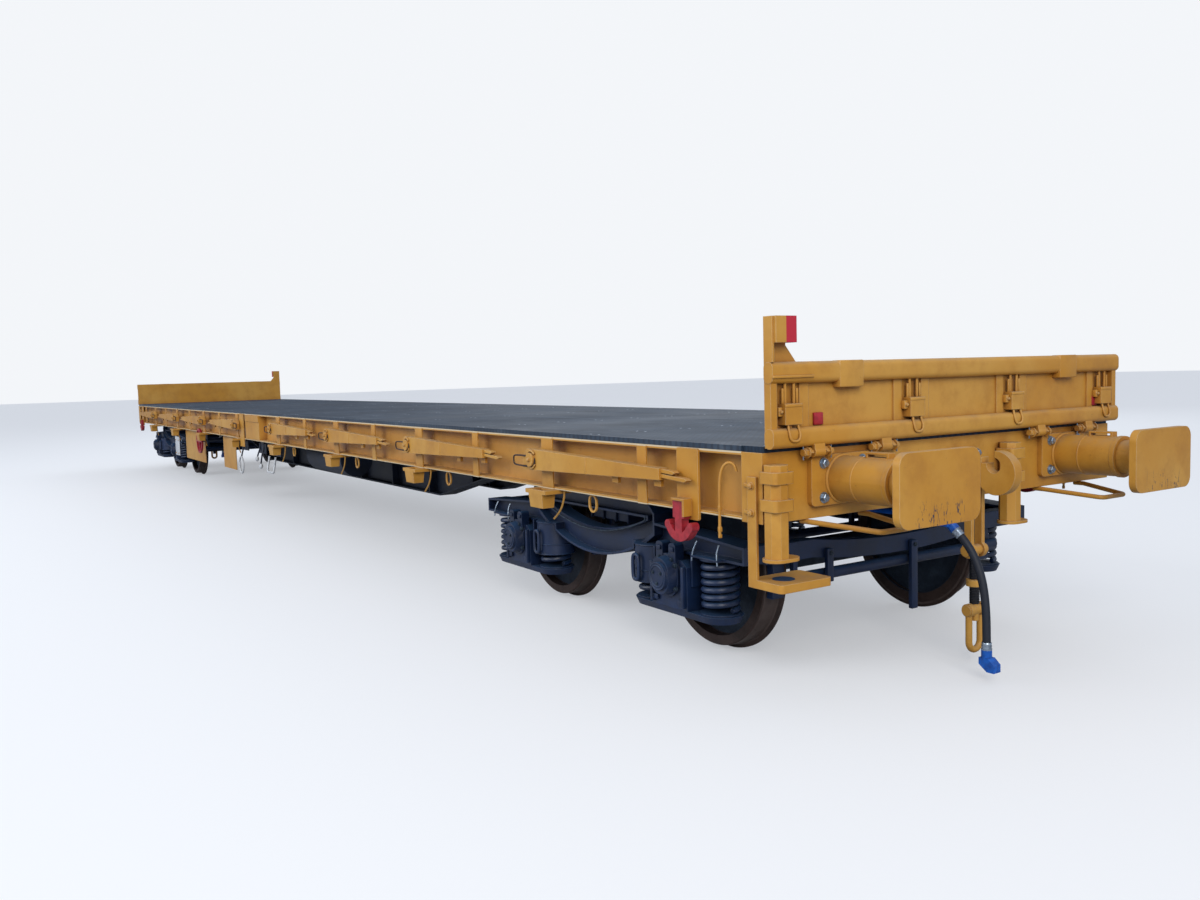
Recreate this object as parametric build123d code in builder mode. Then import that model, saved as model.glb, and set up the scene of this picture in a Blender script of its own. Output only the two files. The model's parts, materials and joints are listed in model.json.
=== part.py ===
from build123d import *
import math
import os

os.makedirs("parts", exist_ok=True)

# Broad-gauge bogie flat wagon, in millimetres.
# +X points to one end, -Y to the side with the handbrake wheel in its far half,
# and Z = 0 is the underside of the wheel flanges. The two ends and the two
# sides repeat each other by a half turn about Z.

# Wheels and axles
tread_diameter = 920
flange_height = 28
rim_width = 135
back_to_back = 1596
axle_diameter = 170
journal_diameter = 130
bearing_gap = 0.5
journal_spacing = 2240

# Bogies
pivot_overhang = 1900
wheelbase = 1800
spring_offset = 300
spring_diameter = 220
spring_base = 300
spring_top = 612
box_width = 330
side_frame_width = 150
frame_top = 868
frame_overhang = 585
arm_root_top = 756
arm_tip_top = 708
droop_radius = 1270
droop_bottom = 483
plate = 14
bowl_radius = 200
pivot_radius = 150
pivot_gap = 0.5
bearer_spacing = 1700

# Body
body_length = 18660
body_width = 2860
sill_bottom = 913
deck_thickness = 30
deck_top = 1273
headstock_depth = 150
headstock_bottom = 903
sill_recess = 90
rib_pitch = 1050
beam_spacing = 700
beam_flange_width = 180
belly_bottom = 428
beam_end_bottom = 960
belly_flat = 6600
belly_span = 11200
stake_pitch = 2100
stake_length = 1600
stake_blade = 1380
stake_root = 117
stake_root_depth = 134
stake_tip_depth = 62
bar_offset = 73
bar_thickness = 10
tow_plate_thickness = 14

# Buffers and drawgear
buffer_spacing = 1850
buffer_height = 1088
buffer_length = 620
casing_length = 400
casing_radius = 118
plunger_radius = 95
head_width = 550
head_height = 340
head_thickness = 40

# End boards
hinge_out = 50
hinge_drop = 40
board_height = 435
board_tube = 60
board_plate = 10
pin_radius = 14
barrel_radius = 25

# Worked out from the sizes above
axle_height = tread_diameter / 2 + flange_height
wheel_inner = back_to_back / 2
wheel_outer = wheel_inner + rim_width
journal_y = journal_spacing / 2
journal_end = journal_y + 110
axle_x = wheelbase / 2
axle_places = (-axle_x, axle_x)
frame_end = axle_x + frame_overhang
body_end = body_length / 2
pivot_x = body_end - pivot_overhang
half_width = body_width / 2
sill_top = deck_top - deck_thickness
hinge_height = deck_top - hinge_drop
beam_y = beam_spacing / 2
beam_end = body_end - headstock_depth
sill_web_y = half_width - sill_recess
buffer_y = buffer_spacing / 2
bearer_y = bearer_spacing / 2
bowl_top = beam_end_bottom - 14
half_turn = Location((0, 0, 0), (0, 0, 180))
rib_places = [body_end - rib_pitch * n for n in range(1, 9)]
stake_places = [body_end - stake_pitch * n for n in range(1, 5)]


def keep(built, name):
    """Name a finished piece and write it."""
    built.part.label = name
    export_step(built.part, f"parts/{name}.step")


def place_bogie(piece, bogie, x):
    """Write one bogie piece at its pivot."""
    with BuildPart() as placed:
        with Locations((x, 0, 0)):
            add(piece.part)
    keep(placed, f"{piece_names[piece]}_{bogie}")


# Wheelset: axle, hubs, dished webs and flanged rims turned in one piece
tread_radius = tread_diameter / 2
axle_radius = axle_diameter / 2
journal_radius = journal_diameter / 2
rim_inner_radius = tread_radius - 62
with BuildPart() as wheelset:
    with BuildSketch(Plane.YZ):
        with BuildLine():
            Polyline(
                (0, 0),
                (0, axle_radius),
                (wheel_inner - 25, axle_radius),
                (wheel_inner - 25, axle_radius + 48),
                (wheel_inner + 40, axle_radius + 58),
                (wheel_inner + 42, rim_inner_radius),
                (wheel_inner, rim_inner_radius - 6),
                (wheel_inner, tread_radius + flange_height - 8),
                (wheel_inner + 8, tread_radius + flange_height),
                (wheel_inner + 20, tread_radius + flange_height),
                (wheel_inner + 34, tread_radius + 2),
                (wheel_outer - 8, tread_radius - 4),
                (wheel_outer, tread_radius - 12),
                (wheel_outer, rim_inner_radius),
                (wheel_inner + 68, rim_inner_radius),
                (wheel_inner + 80, axle_radius + 58),
                (wheel_outer + 20, axle_radius + 48),
                (wheel_outer + 20, axle_radius),
                (journal_y - 115, journal_radius),
                (journal_end, journal_radius),
                (journal_end, 0),
                close=True,
            )
        make_face()
    revolve(axis=Axis.Y)
    mirror(about=Plane.XZ)

# Axle box, built at the left-hand journal of an axle standing at x = 0: a housing
# between the frame's guides, a spring trough under it and a ribbed end cover
box_inner = journal_y - 110
box_outer = journal_y + 130
box_top = spring_top - 30
trough_depth = 42
trough_length = 2 * spring_offset + spring_diameter + 36
trough_width = spring_diameter + 30
cover_width = 186
cover_height = 226
cover_base = 18
cover_depth = 52
disc_radius = 74
lug_width = 62
lug_spacing = 120
lug_top = 676
with BuildPart() as axle_box:
    with BuildSketch(Plane.XZ.offset(box_inner)):
        with BuildLine():
            Polyline(
                (-box_width / 2, spring_base),
                (-box_width / 2, axle_height + 60),
                (-box_width / 2 + 50, box_top),
                (box_width / 2 - 50, box_top),
                (box_width / 2, axle_height + 60),
                (box_width / 2, spring_base),
                close=True,
            )
        make_face()
    extrude(amount=box_outer - box_inner)
    with BuildSketch(Plane.XY.offset(spring_base)):
        with Locations((0, -journal_y)):
            SlotOverall(trough_length, trough_width)
    extrude(amount=-trough_depth, taper=24)
    with BuildSketch(Plane.XZ.offset(box_outer)):
        with Locations((0, axle_height)):
            SlotOverall(cover_height + 24, cover_width + 24, rotation=90)
    extrude(amount=cover_base)
    with BuildSketch(Plane.XZ.offset(box_outer + cover_base)):
        with Locations((0, axle_height)):
            SlotOverall(cover_height, cover_width, rotation=90)
    extrude(amount=cover_depth, taper=10)
    with BuildSketch(Plane.XZ.offset(box_outer + cover_base + cover_depth)):
        with Locations((0, axle_height)):
            Circle(disc_radius)
    extrude(amount=8)
    # Stop lugs in front of the side frame
    with BuildSketch(Plane.XZ.offset(box_outer - 40)):
        with Locations([(side * lug_spacing / 2, (box_top + lug_top) / 2 - 20) for side in (-1, 1)]):
            RectangleRounded(lug_width, lug_top - box_top + 40, 22)
    extrude(amount=62)
    with BuildSketch(Plane.XZ.offset(box_inner)):
        with Locations((0, axle_height)):
            Circle(journal_radius + bearing_gap)
    extrude(amount=journal_end - box_inner + bearing_gap, mode=Mode.SUBTRACT)

with BuildPart() as axle_boxes:
    with Locations([(x, 0, 0) for x in axle_places]):
        add(axle_box.part)
    mirror(about=Plane.XZ)

# Springs: two ribbed coil columns stand on the wings of each box
spring_radius = spring_diameter / 2
coil_count = 5
coil_pitch = (spring_top - spring_base) / coil_count
with BuildPart() as spring:
    with BuildSketch(Plane.XZ):
        with BuildLine():
            coil_points = [(0, spring_base)]
            for coil in range(coil_count):
                foot = spring_base + coil * coil_pitch
                coil_points.append((spring_radius - 22, foot))
                coil_points.append((spring_radius, foot + coil_pitch * 0.3))
                coil_points.append((spring_radius, foot + coil_pitch * 0.7))
            coil_points.append((spring_radius - 22, spring_top))
            coil_points.append((0, spring_top))
            Polyline(*coil_points, close=True)
        make_face()
    revolve(axis=Axis.Z)

with BuildPart() as springs:
    with Locations(
        [(x + side * spring_offset, journal_y, 0) for x in axle_places for side in (-1, 1)]
    ):
        add(spring.part)
    mirror(about=Plane.XZ)

# Bogie frame: two side frames, each a drooping middle with a window between two
# lower arms, all flanged; a centre bolster and a bowed transom at each end
middle_half = 690
middle_corner = 60
notch_half = 475
arm_foot = 556


def droop(x):
    """Height of the drooping lower flange."""
    return droop_bottom + droop_radius - math.sqrt(droop_radius**2 - x**2)


window_half = 600
window_top = frame_top - 83
window_bottom = droop_bottom + 157
window_end = droop_bottom + 274
with BuildSketch(Plane.XZ.offset(journal_y)) as middle_outline:
    with BuildLine():
        Polyline(
            (notch_half, droop(notch_half)),
            (notch_half, spring_top),
            (arm_foot, spring_top),
            (middle_half, droop(middle_half)),
            (middle_half, frame_top - middle_corner),
            (middle_half - middle_corner, frame_top),
            (-middle_half + middle_corner, frame_top),
            (-middle_half, frame_top - middle_corner),
            (-middle_half, droop(middle_half)),
            (-arm_foot, spring_top),
            (-notch_half, spring_top),
            (-notch_half, droop(notch_half)),
        )
        ThreePointArc(
            (-notch_half, droop(notch_half)), (0, droop_bottom), (notch_half, droop(notch_half))
        )
    make_face()
with BuildSketch(Plane.XZ.offset(journal_y)) as arm_outlines:
    with BuildLine():
        Polyline(
            (arm_foot, spring_top),
            (frame_end, spring_top),
            (frame_end, arm_tip_top),
            (middle_half - plate, arm_root_top),
            (middle_half - plate, droop(middle_half)),
            close=True,
        )
    make_face()
    mirror(about=Plane.YZ)
with BuildSketch(Plane.XZ.offset(journal_y)) as window:
    with BuildLine():
        Polyline(
            (-window_half, window_end),
            (-window_half, window_top),
            (window_half, window_top),
            (window_half, window_end),
        )
        ThreePointArc((window_half, window_end), (0, window_bottom), (-window_half, window_end))
    make_face()
with BuildPart() as side_frame:
    with BuildSketch(Plane.XZ.offset(journal_y)):
        add(middle_outline.sketch_local)
        add(arm_outlines.sketch_local)
    extrude(amount=side_frame_width / 2, both=True)
    for side in (-1, 1):
        for outline in (middle_outline, arm_outlines):
            with BuildSketch(Plane.XZ.offset(journal_y + side * plate / 2)):
                add(outline.sketch_local)
                offset(amount=-plate, kind=Kind.INTERSECTION)
            extrude(amount=side * side_frame_width, mode=Mode.SUBTRACT)
    with BuildSketch(Plane.XZ.offset(journal_y)):
        add(window.sketch_local)
    extrude(amount=side_frame_width / 2 - 20, both=True)
    with BuildSketch(Plane.XZ.offset(journal_y)):
        add(window.sketch_local)
        offset(amount=-plate, kind=Kind.INTERSECTION)
    extrude(amount=side_frame_width, both=True, mode=Mode.SUBTRACT)

# Guides beside each axle box and the damper hoods over the inner springs
guide_gap = 3
guide_width = 14
guide_bottom = 440
guide_inner = journal_y - 60
guide_outer = journal_y + 105
hood_bottom = 400
hood_bore = spring_radius + 8
hood_foot_radius = 133
hood_top_radius = 126
guide_places = [
    axle + side * (box_width / 2 + guide_gap + guide_width / 2) for axle in axle_places for side in (-1, 1)
]
with BuildPart() as hood:
    with BuildSketch(Plane.XZ):
        with BuildLine():
            Polyline(
                (hood_bore, hood_bottom),
                (hood_foot_radius, hood_bottom),
                (hood_top_radius, spring_top),
                (hood_top_radius, spring_top + plate),
                (0, spring_top + plate),
                (0, spring_top),
                (hood_bore, spring_top),
                close=True,
            )
        make_face()
    revolve(axis=Axis.Z)
with BuildPart() as guides:
    with BuildSketch(Plane.XY.offset(guide_bottom)):
        with Locations([(guide_x, (guide_inner + guide_outer) / 2) for guide_x in guide_places]):
            Rectangle(guide_width, guide_outer - guide_inner)
    extrude(amount=spring_top + plate - guide_bottom)
    with Locations([(side * (axle_x - spring_offset), journal_y, 0) for side in (-1, 1)]):
        add(hood.part)

bolster_length = journal_spacing - side_frame_width
transom_depth = 90
transom_top = 700
transom_bottom = 600
transom_dip = 50
transom_side = bolster_length / 3
shoe_y = wheel_inner + 87
beam_radius = 32
beam_reach = tread_radius + 53 + beam_radius
hanger_y = shoe_y - 80
inner_hanger_x = axle_x - beam_reach
hanger_bracket_bottom = frame_top - 180
with BuildPart() as bogie_frame:
    add(side_frame.part)
    add(guides.part)
    mirror(about=Plane.XZ)
    with Locations((0, 0, frame_top - 90)):
        Box(440, bolster_length, 180)
    with Locations((0, 0, frame_top)):
        Cylinder(bowl_radius, bowl_top - frame_top + 10, align=(Align.CENTER, Align.CENTER, Align.MIN))
    with Locations((0, 0, bowl_top - pivot_gap)):
        Cylinder(
            pivot_radius + 12, 40, align=(Align.CENTER, Align.CENTER, Align.MIN), mode=Mode.SUBTRACT
        )
    with Locations([(0, side * bearer_y, frame_top) for side in (-1, 1)]):
        Box(240, 130, bowl_top - pivot_gap - frame_top, align=(Align.CENTER, Align.CENTER, Align.MIN))
    with BuildSketch(Plane.XY.offset(hanger_bracket_bottom)):
        with Locations([(0, side * hanger_y) for side in (-1, 1)]):
            Rectangle(2 * (inner_hanger_x + 25), 60)
    extrude(amount=frame_top - 110 - hanger_bracket_bottom)
    with BuildSketch(Plane.YZ.offset(frame_end - transom_depth)):
        with BuildLine():
            Polyline(
                (-transom_side, transom_bottom),
                (-bolster_length / 2, transom_bottom),
                (-bolster_length / 2, transom_top),
                (-transom_side, transom_top),
            )
            ThreePointArc(
                (-transom_side, transom_top), (0, transom_top - transom_dip), (transom_side, transom_top)
            )
            Polyline(
                (transom_side, transom_top),
                (bolster_length / 2, transom_top),
                (bolster_length / 2, transom_bottom),
                (transom_side, transom_bottom),
            )
            ThreePointArc(
                (transom_side, transom_bottom), (0, transom_bottom - transom_dip), (-transom_side, transom_bottom)
            )
        make_face()
    extrude(amount=transom_depth)
    mirror(about=Plane.YZ)

# Brake gear of a bogie: a pair of shoes each side of every wheel, carried by
# cross beams that hang from the frame
shoe_gap = 8
shoe_width = 80
shoe_depth = 47
shoe_length = 260
shoe_height = 210
hanger_width = 30
with BuildPart() as axle_brakes:
    for side in (-1, 1):
        with BuildSketch(Plane.XZ.offset(shoe_y - shoe_width / 2)):
            with Locations((0, axle_height)):
                Circle(tread_radius + shoe_gap + shoe_depth)
                Circle(tread_radius + shoe_gap, mode=Mode.SUBTRACT)
            with Locations((side * beam_reach, axle_height)):
                Rectangle(shoe_length, shoe_height, mode=Mode.INTERSECT)
        extrude(amount=shoe_width)
    mirror(about=Plane.XZ)
    for side in (-1, 1):
        with BuildSketch(Plane.XZ.offset(shoe_y + shoe_width / 2)):
            with Locations((side * beam_reach, axle_height)):
                Circle(beam_radius)
        extrude(amount=-2 * shoe_y - shoe_width)

with BuildPart() as bogie_brakes:
    with Locations([(x, 0, 0) for x in axle_places]):
        add(axle_brakes.part)
    for reach, hanger_top in ((beam_reach, transom_bottom), (-beam_reach, hanger_bracket_bottom)):
        with BuildSketch(Plane.XY.offset(axle_height)):
            with Locations([(side * (axle_x + reach), y) for side in (-1, 1) for y in (-hanger_y, hanger_y)]):
                Rectangle(hanger_width, hanger_width)
        extrude(amount=hanger_top - axle_height)

piece_names = {
    bogie_frame: "bogie_frame",
    axle_boxes: "axle_boxes",
    springs: "springs",
    bogie_brakes: "bogie_brakes",
}
for bogie, bogie_centre in (("near", pivot_x), ("far", -pivot_x)):
    for piece in piece_names:
        place_bogie(piece, bogie, bogie_centre)
    for axle, axle_place in (("a", axle_x), ("b", -axle_x)):
        with BuildPart() as placed_wheelset:
            with Locations((bogie_centre + axle_place, 0, axle_height)):
                add(wheelset.part)
        keep(placed_wheelset, f"wheelset_{bogie}_{axle}")

# Centre beams: two fish-belly plate girders with stiffeners between their flanges
beam_flange = 16
beam_web = 12
with BuildPart() as centre_beam:
    with BuildSketch(Plane.XZ.offset(beam_y)) as beam_outline:
        with BuildLine():
            Polyline(
                (-beam_end, sill_top),
                (beam_end, sill_top),
                (beam_end, beam_end_bottom),
                (belly_span / 2, beam_end_bottom),
                (belly_flat / 2, belly_bottom),
                (-belly_flat / 2, belly_bottom),
                (-belly_span / 2, beam_end_bottom),
                (-beam_end, beam_end_bottom),
                close=True,
            )
        make_face()
    extrude(amount=beam_flange_width / 2, both=True)
    for side in (-1, 1):
        with BuildSketch(Plane.XZ.offset(beam_y + side * beam_web / 2)):
            add(beam_outline.sketch_local)
            offset(amount=-beam_flange, kind=Kind.INTERSECTION)
            with Locations([(x * turn, sill_top) for x in rib_places for turn in (-1, 1)]):
                Rectangle(beam_web, 4 * sill_top, mode=Mode.SUBTRACT)
        extrude(amount=side * beam_flange_width, mode=Mode.SUBTRACT)

with BuildPart() as centre_beams:
    add(centre_beam.part)
    mirror(about=Plane.XZ)
keep(centre_beams, "centre_beams")

# Cross bearers: channels from the side sills to the girders and between them
bearer_depth = 140
bearer_width = 70
bolster_half = 180
bay_edges = (
    (-sill_web_y + 12, -beam_y - beam_web / 2),
    (-beam_y + beam_web / 2, beam_y - beam_web / 2),
    (beam_y + beam_web / 2, sill_web_y - 12),
)
bearer_places = [x for x in rib_places if abs(x - pivot_x) > bolster_half + bearer_width]
bearer_offset = bearer_width / 2 + 8
bearer_wall = 10
bearer_middle = sill_top - beam_flange - bearer_depth / 2
with BuildPart() as cross_bearers:
    for bay_start, bay_end in bay_edges:
        with BuildSketch(Plane.XZ.offset(-bay_start)):
            with Locations([(x + bearer_offset, bearer_middle) for x in bearer_places]):
                Rectangle(bearer_width, bearer_depth)
            with Locations([(x + bearer_offset + bearer_wall, bearer_middle) for x in bearer_places]):
                Rectangle(bearer_width, bearer_depth - 2 * bearer_wall, mode=Mode.SUBTRACT)
        extrude(amount=-(bay_end - bay_start))
    mirror(about=Plane.YZ)
keep(cross_bearers, "cross_bearers")

# Body bolsters over the bogies, with the centre pivot and side bearer pads
flange_edge = beam_y + beam_flange_width / 2
flange_inner_edge = beam_y - beam_flange_width / 2
with BuildPart() as bolster:
    with BuildSketch(Plane.YZ.offset(pivot_x - bolster_half)):
        with BuildLine():
            Polyline(
                (beam_y + beam_web / 2, beam_end_bottom + beam_flange),
                (flange_edge, beam_end_bottom + beam_flange),
                (flange_edge, beam_end_bottom),
                (bearer_y + 90, beam_end_bottom),
                (sill_web_y - 12, sill_top - 130),
                (sill_web_y - 12, sill_top),
                (flange_edge, sill_top),
                (flange_edge, sill_top - beam_flange),
                (beam_y + beam_web / 2, sill_top - beam_flange),
                close=True,
            )
        make_face()
        mirror(about=Plane.YZ)
        with BuildLine():
            Polyline(
                (-beam_y + beam_web / 2, beam_end_bottom + beam_flange),
                (-flange_inner_edge, beam_end_bottom + beam_flange),
                (-flange_inner_edge, beam_end_bottom),
                (flange_inner_edge, beam_end_bottom),
                (flange_inner_edge, beam_end_bottom + beam_flange),
                (beam_y - beam_web / 2, beam_end_bottom + beam_flange),
                (beam_y - beam_web / 2, sill_top - beam_flange),
                (-beam_y + beam_web / 2, sill_top - beam_flange),
                close=True,
            )
        make_face()
    extrude(amount=2 * bolster_half)
    with Locations((pivot_x, 0, bowl_top)):
        Cylinder(pivot_radius, beam_end_bottom - bowl_top, align=(Align.CENTER, Align.CENTER, Align.MIN))
    with Locations([(pivot_x, side * bearer_y, bowl_top) for side in (-1, 1)]):
        Box(300, 150, beam_end_bottom - bowl_top, align=(Align.CENTER, Align.CENTER, Align.MIN))

with BuildPart() as bolsters:
    add(bolster.part)
    mirror(about=Plane.YZ)
keep(bolsters, "bolsters")

# Side sills: outward channels with a raised edge beside the deck and upright ribs
sill_plate = 12
sill_flange = 16
deck_edge = 12
narrow_bar = 85
wide_bar = 136
pivot_pad = 70
stake_height = (sill_bottom + sill_top) / 2 + 22
with BuildPart() as side_sill:
    with BuildSketch(Plane.YZ.offset(-beam_end)):
        with BuildLine():
            Polyline(
                (sill_web_y - sill_plate, sill_bottom),
                (half_width, sill_bottom),
                (half_width, sill_bottom + sill_flange),
                (sill_web_y, sill_bottom + sill_flange),
                (sill_web_y, sill_top - sill_flange),
                (half_width - deck_edge, sill_top - sill_flange),
                (half_width, sill_top - sill_flange),
                (half_width, deck_top),
                (half_width - deck_edge, deck_top),
                (half_width - deck_edge, sill_top),
                (sill_web_y - sill_plate, sill_top),
                close=True,
            )
        make_face()
    extrude(amount=2 * beam_end)
    # Flat bars over the open side, the wide ones with a round pad for a stake's pivot
    with BuildSketch(Plane.XZ.offset(-half_width)):
        for bar_x in rib_places:
            wide = bar_x in stake_places
            with Locations([(turn * (bar_x + bar_offset), (sill_bottom + sill_top) / 2) for turn in (-1, 1)]):
                Rectangle(wide_bar if wide else narrow_bar, sill_top - sill_bottom)
        with Locations([(turn * x, stake_height) for x in stake_places for turn in (-1, 1)]):
            Circle(pivot_pad)
    extrude(amount=-bar_thickness)

with BuildPart() as side_sills:
    add(side_sill.part)
    mirror(about=Plane.XZ)
keep(side_sills, "side_sills")

# Headstocks: inward channels closed by end plates
headstock_plate = 20
headstock_side = 12
headstock_middle = (headstock_bottom + sill_top) / 2
with BuildPart() as headstock:
    with BuildSketch(Plane.XZ.offset(-half_width)):
        with BuildLine():
            Polyline(
                (beam_end, headstock_bottom),
                (body_end, headstock_bottom),
                (body_end, sill_top),
                (beam_end, sill_top),
                (beam_end, sill_top - headstock_plate),
                (body_end - headstock_plate, sill_top - headstock_plate),
                (body_end - headstock_plate, headstock_bottom + headstock_plate),
                (beam_end, headstock_bottom + headstock_plate),
                close=True,
            )
        make_face()
    extrude(amount=2 * half_width)
    for side in (-1, 1):
        side_y = side * (half_width - headstock_side / 2)
        with Locations((body_end - headstock_depth / 2, side_y, headstock_middle)):
            Box(headstock_depth, headstock_side, sill_top - headstock_bottom)

with BuildPart() as headstocks:
    with Locations(Location(), half_turn):
        add(headstock.part)
keep(headstocks, "headstocks")

# Deck: ribbed panels laid across the sills and girders
panel_count = 12
panel_gap = 4
panel_length = body_length / panel_count - panel_gap
with BuildPart() as deck_panels:
    with BuildSketch(Plane.XY.offset(sill_top)):
        with GridLocations(body_length / panel_count, 1, panel_count, 1):
            Rectangle(panel_length, 2 * (half_width - deck_edge))
    extrude(amount=deck_thickness)
keep(deck_panels, "deck_panels")

# Buffers: flanged casings on the headstock and rectangular heads on plungers
base_plate = 30
casing_bore_depth = 120
casing_step = 4
casing_band = 26
base_width = 430
base_height = 250
loop_length = 140
loop_rise = 34
with BuildPart() as casing:
    with BuildSketch(Plane.YZ.offset(body_end)):
        with Locations((buffer_y, buffer_height)):
            RectangleRounded(base_width, base_height, 25)
    extrude(amount=base_plate)
    with BuildSketch(Plane.YZ.offset(body_end + base_plate)):
        with Locations((buffer_y, buffer_height)):
            Circle(casing_radius - casing_step)
    extrude(amount=casing_length - base_plate)
    with BuildSketch(Plane.YZ.offset(body_end + casing_length - casing_band)):
        with Locations((buffer_y, buffer_height)):
            Circle(casing_radius)
    extrude(amount=casing_band)
    with BuildSketch(Plane.YZ.offset(body_end + casing_length - casing_bore_depth)):
        with Locations((buffer_y, buffer_height)):
            Circle(plunger_radius + bearing_gap)
    extrude(amount=casing_bore_depth, mode=Mode.SUBTRACT)
    # Grab loop on top
    with BuildSketch(Plane.XZ.offset(-buffer_y - 25)):
        with Locations((body_end + 270, buffer_height + casing_radius + 5)):
            Rectangle(loop_length, loop_rise)
            Rectangle(loop_length - 24, loop_rise - 20, mode=Mode.SUBTRACT)
    extrude(amount=50)

with BuildPart() as buffer_casings:
    add(casing.part)
    mirror(about=Plane.XZ)
    mirror(about=Plane.YZ)
keep(buffer_casings, "buffer_casings")

plunger_start = body_end + casing_length - casing_bore_depth
head_back = body_end + buffer_length - head_thickness
with BuildPart() as buffer_head:
    with BuildSketch(Plane.YZ.offset(plunger_start)):
        with Locations((buffer_y, buffer_height)):
            Circle(plunger_radius)
    extrude(amount=head_back - plunger_start)
    with BuildSketch(Plane.YZ.offset(head_back - 60)):
        with Locations((buffer_y, buffer_height)):
            Circle(plunger_radius)
    with BuildSketch(Plane.YZ.offset(head_back)):
        with Locations((buffer_y, buffer_height)):
            Circle(head_height / 2 - 20)
    loft()
    with BuildSketch(Plane.YZ.offset(head_back)):
        with Locations((buffer_y, buffer_height)):
            RectangleRounded(head_width, head_height, 60)
    extrude(amount=head_thickness)

with BuildPart() as buffer_heads:
    add(buffer_head.part)
    mirror(about=Plane.XZ)
    mirror(about=Plane.YZ)
keep(buffer_heads, "buffer_heads")

# Draw hooks: a forged hook with an upward mouth on a bolted guide plate
hook_height = buffer_height - 30
hook_centre = body_end + 250
hook_radius = 118
hook_thickness = 60
guide_plate = 25
guide_plate_width = 300
guide_plate_height = 230
hook_pin_x = body_end + 100
with BuildPart() as draw_hook:
    with BuildSketch(Plane.XZ):
        with Locations((hook_centre, hook_height)):
            Circle(hook_radius)
        with Locations(((body_end + hook_centre) / 2, hook_height)):
            Rectangle(hook_centre - body_end, 130)
        with Locations((hook_centre - 10, hook_height + 40)):
            Circle(42, mode=Mode.SUBTRACT)
        with Locations((hook_centre - 45, hook_height + 100)):
            Rectangle(80, 100, mode=Mode.SUBTRACT)
    extrude(amount=hook_thickness / 2, both=True)
    with BuildSketch(Plane.YZ.offset(body_end)):
        with Locations((0, hook_height)):
            RectangleRounded(guide_plate_width, guide_plate_height, 20)
    extrude(amount=guide_plate)

with BuildPart() as draw_hooks:
    with Locations(Location(), half_turn):
        add(draw_hook.part)
keep(draw_hooks, "draw_hooks")

# Screw couplings hang from a pin through each hook's shank
coupling_top = hook_height
upper_trunnion = 628
lower_trunnion = 300
link_bottom = 60
link_radius = 18
link_half = 47
collar_height = 430
screw_radius = 22
with BuildPart() as screw_coupling:
    # Side plates of the shackle
    for side in (-1, 1):
        with BuildSketch(Plane.XZ.offset(side * (hook_thickness / 2 + 14))):
            with Locations((hook_pin_x, coupling_top)):
                Circle(48)
            with Locations((hook_pin_x, upper_trunnion)):
                Circle(42)
            with Locations((hook_pin_x, (coupling_top + upper_trunnion) / 2)):
                Rectangle(46, coupling_top - upper_trunnion)
        extrude(amount=12, both=True)
        with BuildSketch(Plane.XZ.offset(side * hook_thickness / 2)):
            with Locations((hook_pin_x, coupling_top)):
                Circle(26)
        extrude(amount=side * 62)
    # Upper trunnion, screw and lower nut
    with BuildSketch(Plane.XZ.offset(-hook_thickness / 2 - 50)):
        with Locations((hook_pin_x, upper_trunnion)):
            Circle(30)
    extrude(amount=hook_thickness + 100)
    with BuildSketch(Plane.XY.offset(lower_trunnion - 60)):
        with Locations((hook_pin_x, 0)):
            Circle(screw_radius)
    extrude(amount=upper_trunnion - lower_trunnion + 60)
    with BuildSketch(Plane.XZ.offset(-hook_thickness / 2 - 40)):
        with Locations((hook_pin_x, lower_trunnion)):
            Circle(30)
    extrude(amount=hook_thickness + 80)
    # Collar on the screw and the long link with its eyes
    with BuildSketch(Plane.XY.offset(collar_height)):
        with Locations((hook_pin_x, 0)):
            Circle(screw_radius + 22)
    extrude(amount=36)
    with BuildLine(Plane.YZ.offset(hook_pin_x)) as link_path:
        Line((link_half, lower_trunnion), (link_half, link_bottom + link_radius + link_half))
        ThreePointArc(
            (link_half, link_bottom + link_radius + link_half),
            (0, link_bottom + link_radius),
            (-link_half, link_bottom + link_radius + link_half),
        )
        Line((-link_half, link_bottom + link_radius + link_half), (-link_half, lower_trunnion))
    with BuildSketch(Plane(origin=link_path.line @ 0, z_dir=link_path.line % 0)):
        Circle(link_radius)
    sweep()
    for side in (-1, 1):
        with BuildSketch(Plane.XZ.offset(side * link_half)):
            with Locations((hook_pin_x, lower_trunnion)):
                Circle(36)
        extrude(amount=15, both=True)

with BuildPart() as screw_couplings:
    with Locations(Location(), half_turn):
        add(screw_coupling.part)
keep(screw_couplings, "screw_couplings")

# Brake pipes: a cock under each headstock with its handle, fed by a pipe
cock_out = 125
cock_side = 275
cock_drop = 71
cock_size = 80
pipe_radius = 17
pipe_length = 575
nozzle_radius = 27
nozzle_length = 85
nozzle_direction = Vector(0.693, 0.141, -0.707).normalized()
cock_centre = Vector(body_end + cock_out, -cock_side, headstock_bottom - cock_drop)
hose_start = cock_centre + nozzle_direction * nozzle_length
with BuildPart() as brake_cock:
    with BuildSketch(Plane.YZ.offset(cock_centre.X)):
        with Locations((-cock_side, cock_centre.Z)):
            Circle(pipe_radius)
    extrude(amount=-pipe_length)
    with Locations(cock_centre):
        Box(cock_size, cock_size - 10, cock_size)
    with Locations(cock_centre + Vector(0, -cock_size / 2 - 2, 30)):
        Box(26, 14, 130)
    with BuildSketch(Plane(origin=cock_centre, z_dir=nozzle_direction)):
        Circle(nozzle_radius)
    extrude(amount=nozzle_length)
    with BuildSketch(Plane.XY.offset(cock_centre.Z)):
        with Locations((body_end - 60, -cock_side)):
            Rectangle(60, 12)
    extrude(amount=cock_drop)

with BuildPart() as brake_cocks:
    with Locations(Location(), half_turn):
        add(brake_cock.part)
keep(brake_cocks, "brake_cocks")

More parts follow.
